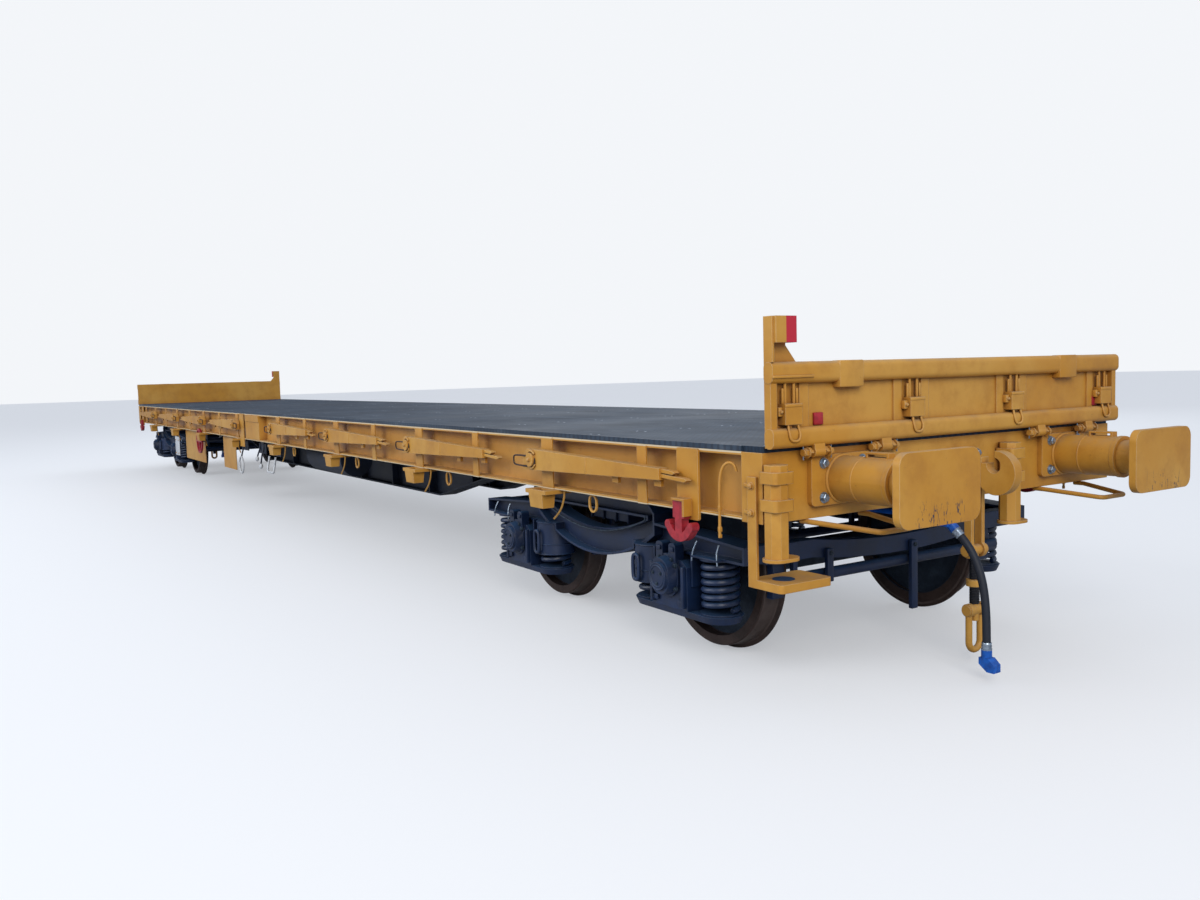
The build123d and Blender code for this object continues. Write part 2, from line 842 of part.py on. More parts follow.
# Brake hoses hang free from the cocks. Each route is straight runs joined by
# tangent arcs, as large as the runs allow.
hose_radius = 21
hose_lead = 85
hose_steps = (
    (49, 10, -87),
    (33, 7, -104),
    (16, 3, -119),
    (5, 1, -125),
    (0, 0, -107),
)
hose_route = [tuple(hose_start), tuple(hose_start + nozzle_direction * hose_lead)]
for hose_step in hose_steps:
    hose_route.append(tuple(Vector(*hose_route[-1]) + Vector(*hose_step)))


def bend_radii(route):
    """Radius of the arc at each inner point: 0.45 of its shorter run over tan(turn / 2)."""
    radii = []
    for before, corner, after in zip(route, route[1:], route[2:]):
        run_in = Vector(*corner) - Vector(*before)
        run_out = Vector(*after) - Vector(*corner)
        turn = math.radians(run_in.get_angle(run_out))
        radii.append(0.45 * min(run_in.length, run_out.length) / math.tan(turn / 2))
    return radii


hose_radii = bend_radii(hose_route)
print("hose bend radii, mm:", [round(radius) for radius in hose_radii])
with BuildPart() as hose:
    with BuildLine() as hose_path:
        FilletPolyline(*hose_route, radius=hose_radii)
    with BuildSketch(Plane(origin=hose_path.line @ 0, z_dir=hose_path.line % 0)):
        Circle(hose_radius)
    sweep()
print("hose length, mm:", round(hose_path.wire().length))

# Coupling heads on the hose ends
hose_end = hose_route[-1]
with BuildPart() as hose_head:
    with BuildSketch(Plane.XY.offset(hose_end[2] - 45)):
        with Locations((hose_end[0], hose_end[1])):
            Circle(hose_radius + 6)
    extrude(amount=45)
    with BuildSketch(Plane.XZ.offset(-hose_end[1] - 28)):
        with BuildLine():
            Polyline(
                (hose_end[0] - 28, hose_end[2] - 40),
                (hose_end[0] + 28, hose_end[2] - 40),
                (hose_end[0] + 62, hose_end[2] - 70),
                (hose_end[0] + 62, hose_end[2] - 110),
                (hose_end[0] + 20, hose_end[2] - 110),
                (hose_end[0] - 28, hose_end[2] - 75),
                close=True,
            )
        make_face()
    extrude(amount=56)

for end, turn in (("near", Location()), ("far", half_turn)):
    for built, name in ((hose, "brake_hose"), (hose_head, "hose_head")):
        with BuildPart() as placed_hose:
            with Locations(turn):
                add(built.part)
        keep(placed_hose, f"{name}_{end}")

# End boards: upright plates framed by tubes, hinged outside the headstocks
board_foot = hinge_height + barrel_radius + 7
board_head = hinge_height + board_height
board_back = body_end + hinge_out - 40
hinge_x = body_end + hinge_out
tube_radius = board_tube / 2
tube_x = board_back + tube_radius
lower_tube = board_foot + 61
upper_tube = board_head - tube_radius
strip_width = 60
strip_depth = 20
pad_places = (-900, 900)
pad_width = 126
pad_height = 125
latch_inset = 140
latch_inner = 420
latch_width = 110
rib_clearance = 50
latch_places = [side * y for side in (-1, 1) for y in (latch_inner, half_width - latch_inset)]
board_ribs = [y + side * (latch_width / 2 + rib_clearance) for y in latch_places for side in (-1, 1)]
board_ribs = [y for y in board_ribs if abs(y) < half_width - 60]
knuckle_places = (-1120, -650, 650, 1120)
knuckle_width = 70
post_height = 215
with BuildPart() as end_board:
    with BuildSketch(Plane.YZ.offset(board_back)):
        with Locations((0, (board_foot + board_head) / 2)):
            Rectangle(2 * half_width - 20, board_head - board_foot)
    extrude(amount=board_plate)
    for tube_height in (lower_tube, upper_tube):
        with BuildSketch(Plane.XZ.offset(-half_width + 10)):
            with Locations((tube_x, tube_height)):
                Circle(tube_radius)
        extrude(amount=2 * half_width - 20)
    with BuildSketch(Plane.XY.offset(board_foot)):
        with Locations([(board_back + strip_depth / 2, rib) for rib in board_ribs]):
            Rectangle(strip_depth, strip_width)
        with Locations([(board_back + 22, side * (half_width - 30)) for side in (-1, 1)]):
            Rectangle(44, 40)
    extrude(amount=board_head - board_foot - tube_radius)
    with BuildSketch(Plane.XY.offset(board_head - pad_height)):
        with Locations([(tube_x, pad) for pad in pad_places]):
            Rectangle(board_tube, pad_width)
    extrude(amount=pad_height)
    # Hinge knuckles and pins
    for knuckle in knuckle_places:
        with BuildSketch(Plane.XZ.offset(-knuckle - knuckle_width / 2)):
            with Locations((hinge_x, hinge_height)):
                Circle(barrel_radius)
            with BuildLine():
                Polyline(
                    (board_back, board_foot + 60),
                    (board_back, hinge_height + 14),
                    (hinge_x - 15, hinge_height - 10),
                    (hinge_x + barrel_radius - 3, hinge_height + 4),
                    (board_back + 50, board_foot + 60),
                    close=True,
                )
            make_face()
        extrude(amount=knuckle_width)
        with BuildSketch(Plane.XZ.offset(-knuckle - knuckle_width / 2 - 40)):
            with Locations((hinge_x, hinge_height)):
                Circle(pin_radius)
        extrude(amount=knuckle_width + 80)
    # Corner post with its stop block
    with BuildSketch(Plane.YZ.offset(board_back)):
        with BuildLine():
            Polyline(
                (-half_width + 10, board_head - 20),
                (-half_width + 10, board_head + post_height),
                (-half_width + 135, board_head + post_height),
                (-half_width + 135, board_head + 80),
                (-half_width + 210, board_head - 10),
                close=True,
            )
        make_face()
    extrude(amount=14)
    with BuildSketch(Plane.YZ.offset(board_back)):
        with Locations((-half_width + 16, board_head + post_height / 2)):
            Rectangle(12, post_height)
    extrude(amount=60)
    with Locations((board_back + 45, -half_width + 85, board_head + post_height - 62)):
        Box(62, 130, 124)

# Latches on the board: a sliding block under two guide rods, with its bolt below
latch_height = hinge_height + 190
latch_depth = 52
latch_rise = 100
guide_rod = 8
guide_spacing = 56
bolt_radius = 12
with BuildPart() as board_latches:
    for latch in latch_places:
        with Locations((board_back + board_plate + latch_depth / 2, latch, latch_height)):
            Box(latch_depth, latch_width, latch_rise)
        with BuildSketch(Plane.XY.offset(latch_height + latch_rise / 2)):
            with Locations([(tube_x, latch + side * guide_spacing / 2) for side in (-1, 1)]):
                Circle(guide_rod)
        extrude(amount=upper_tube - tube_radius - latch_height - latch_rise / 2)
        with BuildSketch(Plane.XY.offset(lower_tube + tube_radius)):
            with Locations((tube_x, latch)):
                Circle(bolt_radius)
        extrude(amount=latch_height - latch_rise / 2 - lower_tube - tube_radius)

for end, turn in (("near", Location()), ("far", half_turn)):
    for built, name in ((end_board, "end_board"), (board_latches, "board_latches")):
        with BuildPart() as placed_board:
            with Locations(turn):
                add(built.part)
        keep(placed_board, f"{name}_{end}")

# Hinge brackets on the headstocks carry the pins either side of each knuckle
ear_width = 24
ear_root = 28
with BuildPart() as hinge_bracket:
    for knuckle in knuckle_places:
        for side in (-1, 1):
            ear_middle = knuckle + side * (knuckle_width / 2 + 8 + ear_width / 2)
            with BuildSketch(Plane.XZ.offset(-ear_middle - ear_width / 2)):
                with BuildLine():
                    Polyline(
                        (body_end, sill_top - ear_root),
                        (body_end, sill_top),
                        (hinge_x, hinge_height + barrel_radius),
                        (hinge_x + barrel_radius, hinge_height),
                        (hinge_x, hinge_height - barrel_radius + 5),
                        close=True,
                    )
                make_face()
                with Locations((hinge_x, hinge_height)):
                    Circle(pin_radius + bearing_gap, mode=Mode.SUBTRACT)
            extrude(amount=ear_width)

with BuildPart() as hinge_brackets:
    with Locations(Location(), half_turn):
        add(hinge_bracket.part)
keep(hinge_brackets, "hinge_brackets")

# Side stakes lie folded along the sills: a closed tapered box on a pivot boss,
# with a forked tip and two catch lugs
stake_back = half_width + tow_plate_thickness + 4
stake_thickness = 62
boss_radius = 45
boss_proud = 22
root_chamfer = 56
catch_lugs = (900, 1310)
lug_length = 60
lug_drop = 40
tine_depth = 20
tine_thickness = 36
tines = ((1500, 18, 12), (1600, -8, -20))  # reach, height at the blade, height at the tip
root_half = stake_root_depth / 2
tip_half = stake_tip_depth / 2
blade_fall = (root_half - tip_half) / stake_blade
with BuildPart() as stake:
    with BuildSketch(Plane.XZ.offset(stake_back)):
        with BuildLine():
            Polyline(
                (-stake_root, stake_height + root_half - root_chamfer),
                (-stake_root + root_chamfer, stake_height + root_half),
                (0, stake_height + root_half),
                (stake_blade, stake_height + tip_half),
                (stake_blade, stake_height - tip_half),
                (0, stake_height - root_half),
                (-stake_root, stake_height - root_half),
                close=True,
            )
        make_face()
    extrude(amount=stake_thickness)
    for reach, root_z, tip_z in tines:
        with BuildSketch(Plane.XZ.offset(stake_back + (stake_thickness - tine_thickness) / 2)):
            with BuildLine():
                Polyline(
                    (stake_blade - 40, stake_height + root_z + tine_depth / 2),
                    (stake_blade, stake_height + root_z + tine_depth / 2),
                    (reach - tine_depth, stake_height + tip_z + tine_depth / 2),
                    (reach, stake_height + tip_z),
                    (reach - tine_depth, stake_height + tip_z - tine_depth / 2),
                    (stake_blade, stake_height + root_z - tine_depth / 2),
                    (stake_blade - 40, stake_height + root_z - tine_depth / 2),
                    close=True,
                )
            make_face()
        extrude(amount=tine_thickness)
    for lug_x in catch_lugs:
        with BuildSketch(Plane.XZ.offset(stake_back)):
            with Locations((lug_x, stake_height - root_half + blade_fall * lug_x - lug_drop / 2 + 10)):
                Rectangle(lug_length, lug_drop + 20)
        extrude(amount=stake_thickness / 3)
    with BuildSketch(Plane.XZ.offset(half_width + bar_thickness)):
        with Locations((0, stake_height)):
            Circle(boss_radius - 5)
    extrude(amount=stake_back - half_width - bar_thickness)
    with BuildSketch(Plane.XZ.offset(stake_back)):
        with Locations((0, stake_height)):
            Circle(boss_radius)
    extrude(amount=stake_thickness + boss_proud)

with BuildPart() as side_stakes:
    with Locations([(x, 0, 0) for x in stake_places]):
        add(stake.part)
    mirror(about=Plane.YZ)
    mirror(about=Plane.XZ)
keep(side_stakes, "side_stakes")

# Stake sockets: tapered cups outside the sill, under a collar plate on its flange
socket_width = 175
socket_depth = 98
socket_drop = 90
socket_taper = 5
socket_y = half_width + 55
cup_width = 145
cup_depth = 66
collar_thickness = 26
collar_width = 254
collar_back = sill_web_y
cup_top = sill_bottom - collar_thickness
socket_places = [
    (end * (x + bar_offset), side * socket_y) for x in stake_places for end in (-1, 1) for side in (-1, 1)
]
with BuildPart() as stake_sockets:
    with BuildSketch(Plane.XY.offset(cup_top)):
        with Locations(socket_places):
            Rectangle(socket_width, socket_depth)
    extrude(amount=-socket_drop, taper=socket_taper)
    with BuildSketch(Plane.XY.offset(cup_top)):
        for socket_x, middle_y in socket_places:
            outer_y = middle_y + math.copysign(socket_depth / 2, middle_y)
            with Locations((socket_x, (outer_y + math.copysign(collar_back, middle_y)) / 2)):
                Rectangle(collar_width, abs(outer_y) - collar_back)
    extrude(amount=collar_thickness)
    with BuildSketch(Plane.XY.offset(sill_bottom)):
        with Locations(socket_places):
            Rectangle(cup_width, cup_depth)
    extrude(amount=-socket_drop - collar_thickness, taper=socket_taper, mode=Mode.SUBTRACT)
keep(stake_sockets, "stake_sockets")

# Lashing rings hang from the sill flange beside the sockets
ring_rod = 12
ring_height = 113
ring_width = 90
ring_offset = 545
ring_inset = 40
ring_places = [x + ring_offset for x in stake_places]
with BuildPart() as lashing_ring:
    with BuildSketch(Plane.XZ.offset(half_width - ring_inset)):
        with Locations((0, sill_bottom - ring_height / 2)):
            SlotOverall(ring_height, ring_width, rotation=90)
            SlotOverall(ring_height - 2 * ring_rod, ring_width - 2 * ring_rod, rotation=90, mode=Mode.SUBTRACT)
    extrude(amount=ring_rod)

with BuildPart() as lashing_rings:
    with Locations([(x, 0, 0) for x in ring_places]):
        add(lashing_ring.part)
    mirror(about=Plane.YZ)
    mirror(about=Plane.XZ)
keep(lashing_rings, "lashing_rings")

# Towing hooks: double hooks on wide plates across the sills, two on each side
tow_inset = 560
tow_x = body_end - tow_inset
tow_plate_width = 178
tow_plate_bottom = 872
tow_top = 972
tow_bottom = 758
hook_offset = -24
hook_x = tow_x + hook_offset
hook_block = 92
hook_slab = 46
hanger_wall = 12
with BuildPart() as towing_plate:
    with BuildSketch(Plane.XZ.offset(half_width)):
        with Locations((tow_x, (sill_top + tow_plate_bottom) / 2)):
            RectangleRounded(tow_plate_width, sill_top - tow_plate_bottom, 12)
    extrude(amount=tow_plate_thickness)
    # Hanger bracket: a roof and one cheek
    with BuildSketch(Plane.XZ.offset(half_width + tow_plate_thickness)):
        with Locations((hook_x + hanger_wall / 2, tow_top + hanger_wall / 2)):
            Rectangle(hook_block + hanger_wall, hanger_wall)
        with Locations((hook_x + (hook_block + hanger_wall) / 2, tow_top - hook_block / 2 + hanger_wall)):
            Rectangle(hanger_wall, hook_block)
    extrude(amount=hook_slab + 10)

with BuildPart() as towing_plates:
    add(towing_plate.part)
    mirror(about=Plane.YZ)
    mirror(about=Plane.XZ)
keep(towing_plates, "towing_plates")

hook_arm = 118
hook_bar = 44
hook_shank = 58
hook_neck = 880
fluke_rise = 82
tip_radius = 24
with BuildPart() as towing_hook:
    with BuildSketch(Plane.XZ.offset(half_width + tow_plate_thickness)):
        with Locations((hook_x, tow_bottom + hook_arm)):
            Circle(hook_arm)
            Circle(hook_arm - hook_bar, mode=Mode.SUBTRACT)
        with Locations((hook_x, tow_bottom + fluke_rise + hook_arm)):
            Rectangle(2 * hook_arm, 2 * hook_arm, mode=Mode.SUBTRACT)
        tip_out = hook_arm - tip_radius
        with Locations([(hook_x + side * tip_out, tow_bottom + fluke_rise) for side in (-1, 1)]):
            Circle(tip_radius)
        with Locations((hook_x, (tow_bottom + hook_bar / 2 + hook_neck) / 2)):
            Rectangle(hook_shank, hook_neck - tow_bottom - hook_bar / 2)
        with Locations((hook_x, (hook_neck + tow_top) / 2)):
            Rectangle(hook_block, tow_top - hook_neck)
    extrude(amount=hook_slab)

with BuildPart() as towing_hooks:
    add(towing_hook.part)
    mirror(about=Plane.YZ)
    mirror(about=Plane.XZ)
keep(towing_hooks, "towing_hooks")

# Corner steps: a flat bar bolted to the headstock's end, bent in to a rimmed tread
step_bar = 62
step_bar_thickness = 14
step_top = 1128
step_tread = 634
step_rim = 41
step_back = 95
step_length = 232
step_width = 330
step_wall = 8
step_y = -half_width - step_bar_thickness + step_width / 2
step_x = body_end - step_back + step_length / 2
with BuildPart() as corner_step:
    with BuildSketch(Plane.XZ.offset(half_width)):
        with Locations((body_end - step_back + step_bar / 2, (step_top + step_tread - step_rim) / 2)):
            Rectangle(step_bar, step_top - step_tread + step_rim)
    extrude(amount=step_bar_thickness)
    with BuildSketch(Plane.XY.offset(step_tread)):
        with Locations((step_x, step_y)):
            RectangleRounded(step_length, step_width, 24)
    extrude(amount=-step_rim)
    with BuildSketch(Plane.XY.offset(step_tread - step_wall)):
        with Locations((step_x, step_y)):
            RectangleRounded(step_length - 2 * step_wall, step_width - 2 * step_wall, 16)
    extrude(amount=-step_rim, mode=Mode.SUBTRACT)

with BuildPart() as corner_steps:
    with Locations(Location(), half_turn):
        add(corner_step.part)
keep(corner_steps, "corner_steps")

# Shunting rails: bent rods under the buffers
rail_rod = 13
rail_y_inner = 736
rail_y_outer = 1144
rail_reach = 350
rail_route = [
    (body_end - 40, -rail_y_outer, headstock_bottom - rail_rod),
    (body_end + 20, -rail_y_outer, headstock_bottom - rail_rod),
    (body_end + rail_reach, -rail_y_outer + 130, headstock_bottom - 40),
    (body_end + rail_reach, -rail_y_inner - 60, headstock_bottom - 40),
    (body_end + 20, -rail_y_inner, headstock_bottom - rail_rod),
    (body_end - 40, -rail_y_inner, headstock_bottom - rail_rod),
]
with BuildPart() as shunting_rail:
    with BuildLine() as rail_path:
        FilletPolyline(*rail_route, radius=35)
    with BuildSketch(Plane(origin=rail_path.line @ 0, z_dir=rail_path.line % 0)):
        Circle(rail_rod)
    sweep()

with BuildPart() as shunting_rails:
    add(shunting_rail.part)
    mirror(about=Plane.XZ)
    mirror(about=Plane.YZ)
keep(shunting_rails, "shunting_rails")

# End stanchions: upright bars in straps on the headstocks
stanchion_inset = 35
stanchion_inner = 370
stanchion_places = (-half_width + stanchion_inset, stanchion_inner)
stanchion_radius = 55
stanchion_foot = 748
stanchion_head = 1190
stanchion_sole = 16
strap_heights = (1000, 1130)
strap_width = 56
strap_wall = 8
with BuildPart() as stanchion:
    for place in stanchion_places:
        with BuildSketch(Plane.XY.offset(stanchion_foot)):
            with Locations((body_end + stanchion_radius, place)):
                RegularPolygon(stanchion_radius, 8, major_radius=False, rotation=22.5)
        extrude(amount=stanchion_head - stanchion_foot)
        with BuildSketch(Plane.XY.offset(stanchion_foot - stanchion_sole)):
            with Locations((body_end + stanchion_radius, place + 25)):
                SlotOverall(190, 125, rotation=90)
        extrude(amount=stanchion_sole)
        # Straps round the bar
        for strap_height in strap_heights:
            with BuildSketch(Plane.XY.offset(strap_height - strap_width / 2)):
                with Locations((body_end + stanchion_radius + strap_wall / 2, place)):
                    RectangleRounded(2 * stanchion_radius + strap_wall, 2 * (stanchion_radius + strap_wall), 20)
            extrude(amount=strap_width)

with BuildPart() as end_stanchions:
    with Locations(Location(), half_turn):
        add(stanchion.part)
keep(end_stanchions, "end_stanchions")

# Handbrake wheel, its spindle and bracket under the far half of each side
wheel_x = -stake_places[2] - 360
brake_wheel_height = 780
brake_wheel_radius = 190
brake_rod = 14
wheel_y = half_width + 8
with BuildPart() as handbrake_wheel:
    with BuildSketch(Plane.XZ.offset(wheel_y)):
        with Locations((wheel_x, brake_wheel_height)):
            Circle(brake_wheel_radius)
            Circle(brake_wheel_radius - 2 * brake_rod, mode=Mode.SUBTRACT)
        with Locations((wheel_x, brake_wheel_height)):
            Rectangle(2 * brake_wheel_radius - 2 * brake_rod, 30)
            Rectangle(30, 2 * brake_wheel_radius - 2 * brake_rod)
            Circle(42)
    extrude(amount=2 * brake_rod)

with BuildPart() as handbrake_wheels:
    with Locations(Location(), half_turn):
        add(handbrake_wheel.part)
keep(handbrake_wheels, "handbrake_wheels")

with BuildPart() as handbrake_mount:
    with BuildSketch(Plane.XZ.offset(wheel_y - 420)):
        with Locations((wheel_x, brake_wheel_height)):
            Circle(20)
    extrude(amount=420)
    with BuildSketch(Plane.XY.offset(brake_wheel_height - 50)):
        with Locations((wheel_x, -sill_web_y - 7)):
            Rectangle(120, 14)
    extrude(amount=sill_bottom - brake_wheel_height + 50)

with BuildPart() as handbrake_mounts:
    with Locations(Location(), half_turn):
        add(handbrake_mount.part)
keep(handbrake_mounts, "handbrake_mounts")

# Inscription panels hang below the sills, in the bays between the far stakes
panel_recess = 80
panels = (  # bay, shift towards the far end, width, bottom
    (1, 150, 1500, 428),
    (2, -120, 740, 448),
)
with BuildPart() as side_panel:
    for bay, shift, panel_width, panel_bottom in panels:
        panel_x = -(stake_places[bay] + stake_places[bay + 1]) / 2 - shift
        with BuildSketch(Plane.XZ.offset(half_width - panel_recess)):
            with Locations((panel_x, (sill_bottom + panel_bottom) / 2)):
                Rectangle(panel_width, sill_bottom - panel_bottom)
        extrude(amount=8)

# A box in the sill's recess at mid-length and a wide plate beside it
box_start = -556
box_length = 677
box_step = 1150
box_front = half_width + 6
box_head = half_width + 16
side_plate_x = -745
side_plate_width = 210
side_plate_bottom = 813
with BuildPart() as middle_box:
    with BuildSketch(Plane.XY.offset(sill_bottom + sill_flange)):
        with Locations((box_start + box_length / 2, -(sill_web_y + box_front) / 2)):
            Rectangle(box_length, box_front - sill_web_y)
    extrude(amount=box_step - sill_bottom - sill_flange)
    with BuildSketch(Plane.XY.offset(box_step)):
        with Locations((box_start + box_length / 2 + 15, -(sill_web_y + box_head) / 2)):
            Rectangle(box_length - 30, box_head - sill_web_y)
    extrude(amount=sill_top - sill_flange - box_step)
    with BuildSketch(Plane.XZ.offset(half_width)):
        with Locations((side_plate_x, (side_plate_bottom + sill_top) / 2)):
            Rectangle(side_plate_width, sill_top - side_plate_bottom)
    extrude(amount=bar_thickness)

with BuildPart() as side_panels:
    with Locations(Location(), half_turn):
        add(side_panel.part)
        add(middle_box.part)
keep(side_panels, "side_panels")

# Air reservoirs hang in straps from the cross bearers
tank_radius = 180
tank_y = 900
tank_height = 760
tank_overhang = 100
strap_middles = [rib_places[7] + bearer_offset, rib_places[6] + bearer_offset]
bearer_bottom = sill_top - beam_flange - bearer_depth
with BuildPart() as air_tank:
    with BuildSketch(Plane.YZ.offset(strap_middles[0] - tank_overhang)):
        with Locations((-tank_y, tank_height)):
            Circle(tank_radius)
    extrude(amount=strap_middles[1] - strap_middles[0] + 2 * tank_overhang)
    with BuildSketch(Plane.XY.offset(tank_height)):
        with Locations([(strap_x, -tank_y) for strap_x in strap_middles]):
            Rectangle(50, 60)
    extrude(amount=bearer_bottom - tank_height)

with BuildPart() as air_tanks:
    with Locations(Location(), half_turn):
        add(air_tank.part)
keep(air_tanks, "air_tanks")
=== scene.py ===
import json
import math

import bmesh
import bpy
from mathutils import Matrix, Quaternion, Vector


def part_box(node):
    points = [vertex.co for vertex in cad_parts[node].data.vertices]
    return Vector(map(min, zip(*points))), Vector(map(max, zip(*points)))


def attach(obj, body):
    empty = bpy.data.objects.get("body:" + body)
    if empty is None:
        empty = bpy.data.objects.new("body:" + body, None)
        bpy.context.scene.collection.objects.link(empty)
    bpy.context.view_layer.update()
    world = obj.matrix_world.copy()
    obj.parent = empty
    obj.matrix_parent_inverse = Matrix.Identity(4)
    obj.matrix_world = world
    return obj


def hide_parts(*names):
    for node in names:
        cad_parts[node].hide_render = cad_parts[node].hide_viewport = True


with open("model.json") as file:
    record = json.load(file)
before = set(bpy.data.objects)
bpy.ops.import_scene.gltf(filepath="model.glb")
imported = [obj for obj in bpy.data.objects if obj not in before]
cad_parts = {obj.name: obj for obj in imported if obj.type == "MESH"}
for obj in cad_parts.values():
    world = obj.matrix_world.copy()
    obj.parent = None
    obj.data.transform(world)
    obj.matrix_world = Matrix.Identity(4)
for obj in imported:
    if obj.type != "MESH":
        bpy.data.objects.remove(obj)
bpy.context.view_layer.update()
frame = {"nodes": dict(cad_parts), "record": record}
nodes = frame["nodes"]
print("frame loaded:", len(nodes), "nodes")

# The far end repeats the near one by a half turn
turns = {"near": Matrix.Identity(4), "far": Matrix.Rotation(math.pi, 4, "Z")}


# A socket that takes part in sums: each sum adds its Math node
class Value:
    def __init__(self, finish, socket):
        self.finish = finish
        self.socket = socket

    def math(self, operation, other=0.0, swapped=False):
        first, second = (other, self) if swapped else (self, other)
        return self.finish.add("ShaderNodeMath", {"operation": operation}, {0: first, 1: second})

    def __add__(self, other):
        return self.math("ADD", other)

    def __sub__(self, other):
        return self.math("SUBTRACT", other)

    def __rsub__(self, other):
        return self.math("SUBTRACT", other, swapped=True)

    def __mul__(self, other):
        return self.math("MULTIPLY", other)

    def __pow__(self, other):
        return self.math("POWER", other)

    __radd__ = __add__
    __rmul__ = __mul__


# A material and the nodes that it is built from
class Finish:
    def __init__(self, name, metallic=0.0, specular=0.5):
        self.material = bpy.data.materials.new(name)
        self.material.use_nodes = True
        self.tree = self.material.node_tree
        self.shader = self.tree.nodes["Principled BSDF"]
        self.shader.inputs["Metallic"].default_value = metallic
        self.shader.inputs["Specular IOR Level"].default_value = specular
        self.place = self.add("ShaderNodeTexCoord", {}, {}, "Object")

    def add(self, kind, settings, inputs, output=0):
        node = self.tree.nodes.new(kind)
        for key, value in settings.items():
            setattr(node, key, value)
        for key, value in inputs.items():
            self.feed(node.inputs[key], value)
        return Value(self, node.outputs[output])

    def feed(self, socket, value):
        if isinstance(value, Value):
            self.tree.links.new(value.socket, socket)
        elif hasattr(value, "__len__") and socket.type == "RGBA":
            socket.default_value = (*value, 1.0)
        else:
            socket.default_value = value

    def noise(self, scale, detail, roughness, stretch=None, shift=(0, 0, 0)):
        place = self.place
        if stretch or any(shift):
            inputs = {"Vector": place, "Location": shift, "Scale": stretch or (1, 1, 1)}
            place = self.add("ShaderNodeMapping", {}, inputs)
        inputs = {"Vector": place, "Scale": scale, "Detail": detail, "Roughness": roughness}
        return self.add("ShaderNodeTexNoise", {}, inputs)

    def band(self, value, low, high):  # 0 below low, 1 above high, smooth between
        inputs = {"Value": value, "From Min": low, "From Max": high}
        return self.add("ShaderNodeMapRange", {"interpolation_type": "SMOOTHSTEP"}, inputs)

    def past(self, value, place, blur=0.0005):  # 1 past a place, 0 before it
        return self.band(value, place - blur, place + blur)

    def mix(self, amount, under, over):
        return self.add("ShaderNodeMix", {"data_type": "RGBA"}, {0: amount, 6: under, 7: over}, 2)

    def axis(self, letter):
        return self.add("ShaderNodeSeparateXYZ", {}, {0: self.place}, letter)

    def fromMiddle(self, letter):  # the distance from the wagon's middle along an axis
        return self.axis(letter).math("ABSOLUTE")

    def crevice(self, reach):  # 1 in corners, 0 in the open
        return 1 - self.add("ShaderNodeAmbientOcclusion", {"samples": 6}, {"Distance": reach}, "AO")

    def facing(self, letter):
        normal = self.add("ShaderNodeNewGeometry", {}, {}, "Normal")
        return self.add("ShaderNodeSeparateXYZ", {}, {0: normal}, letter)

    def rounded(self, reach):  # the surface's direction, eased round the edges
        return self.add("ShaderNodeBevel", {"samples": 4}, {"Radius": reach})

    def edge(self, soft, crevice):  # 1 along open edges, 0 on flat faces and in corners
        flat = self.add("ShaderNodeNewGeometry", {}, {}, "True Normal")
        inputs = {0: soft, 1: flat}
        alike = self.add("ShaderNodeVectorMath", {"operation": "DOT_PRODUCT"}, inputs, "Value")
        return self.band(1 - alike, 0.02, 0.22) * (1 - self.band(crevice, 0.15, 0.5))

    def bump(self, height, strength, distance, under=None):
        inputs = {"Strength": strength, "Distance": distance, "Height": height}
        if under:
            inputs["Normal"] = under
        return self.add("ShaderNodeBump", {}, inputs)

    def out(self, colour, roughness, normal=None):
        self.feed(self.shader.inputs["Base Color"], colour)
        self.feed(self.shader.inputs["Roughness"], roughness)
        if normal:
            self.feed(self.shader.inputs["Normal"], normal)
        return self.material


def darker(colour, share):
    return tuple(part * share for part in colour)


# Yellow enamel, with its wear, painted shade in its corners and cream edges that are partly a painted
# highlight. Heights and distances from the middle are in metres.
paintLook = {
    "fresh": (0.545, 0.258, 0.031),
    "sunned": (0.610, 0.328, 0.064),
    "shaded": (0.360, 0.146, 0.022),
    "recess": (0.560, 0.280, 0.066),
    "rust": (0.105, 0.042, 0.020),
    "dust": (0.400, 0.310, 0.200),
    "creamWearAndHighlight": (0.680, 0.560, 0.370),
    "primer": (0.520, 0.022, 0.045),
    "scuff": (0.030, 0.034, 0.060),
    "edgeRound": 0.005,
    "creviceReach": 0.12,
    "creviceShade": {"plain": 0.85, "sill": 0.45, "board": 0.85, "buffer": 0.85},
}
sillLook = {
    "web": (1.345, 1.385), "lip": 1.424, "upperLip": 1.236, "lowerLip": 0.920, "boards": 1.245,
}
stopBlock = {"foot": 1.7575, "inner": 1.3455, "red": 9.355}
scuffLook = {
    "face": 9.94925, "bufferY": 0.925, "height": (0.99, 1.05), "side": (0.13, 0.19),
    "tilt": (0.55, 0, 0), "stretch": (1, 3.4, 0.9), "scale": 13.0,
}


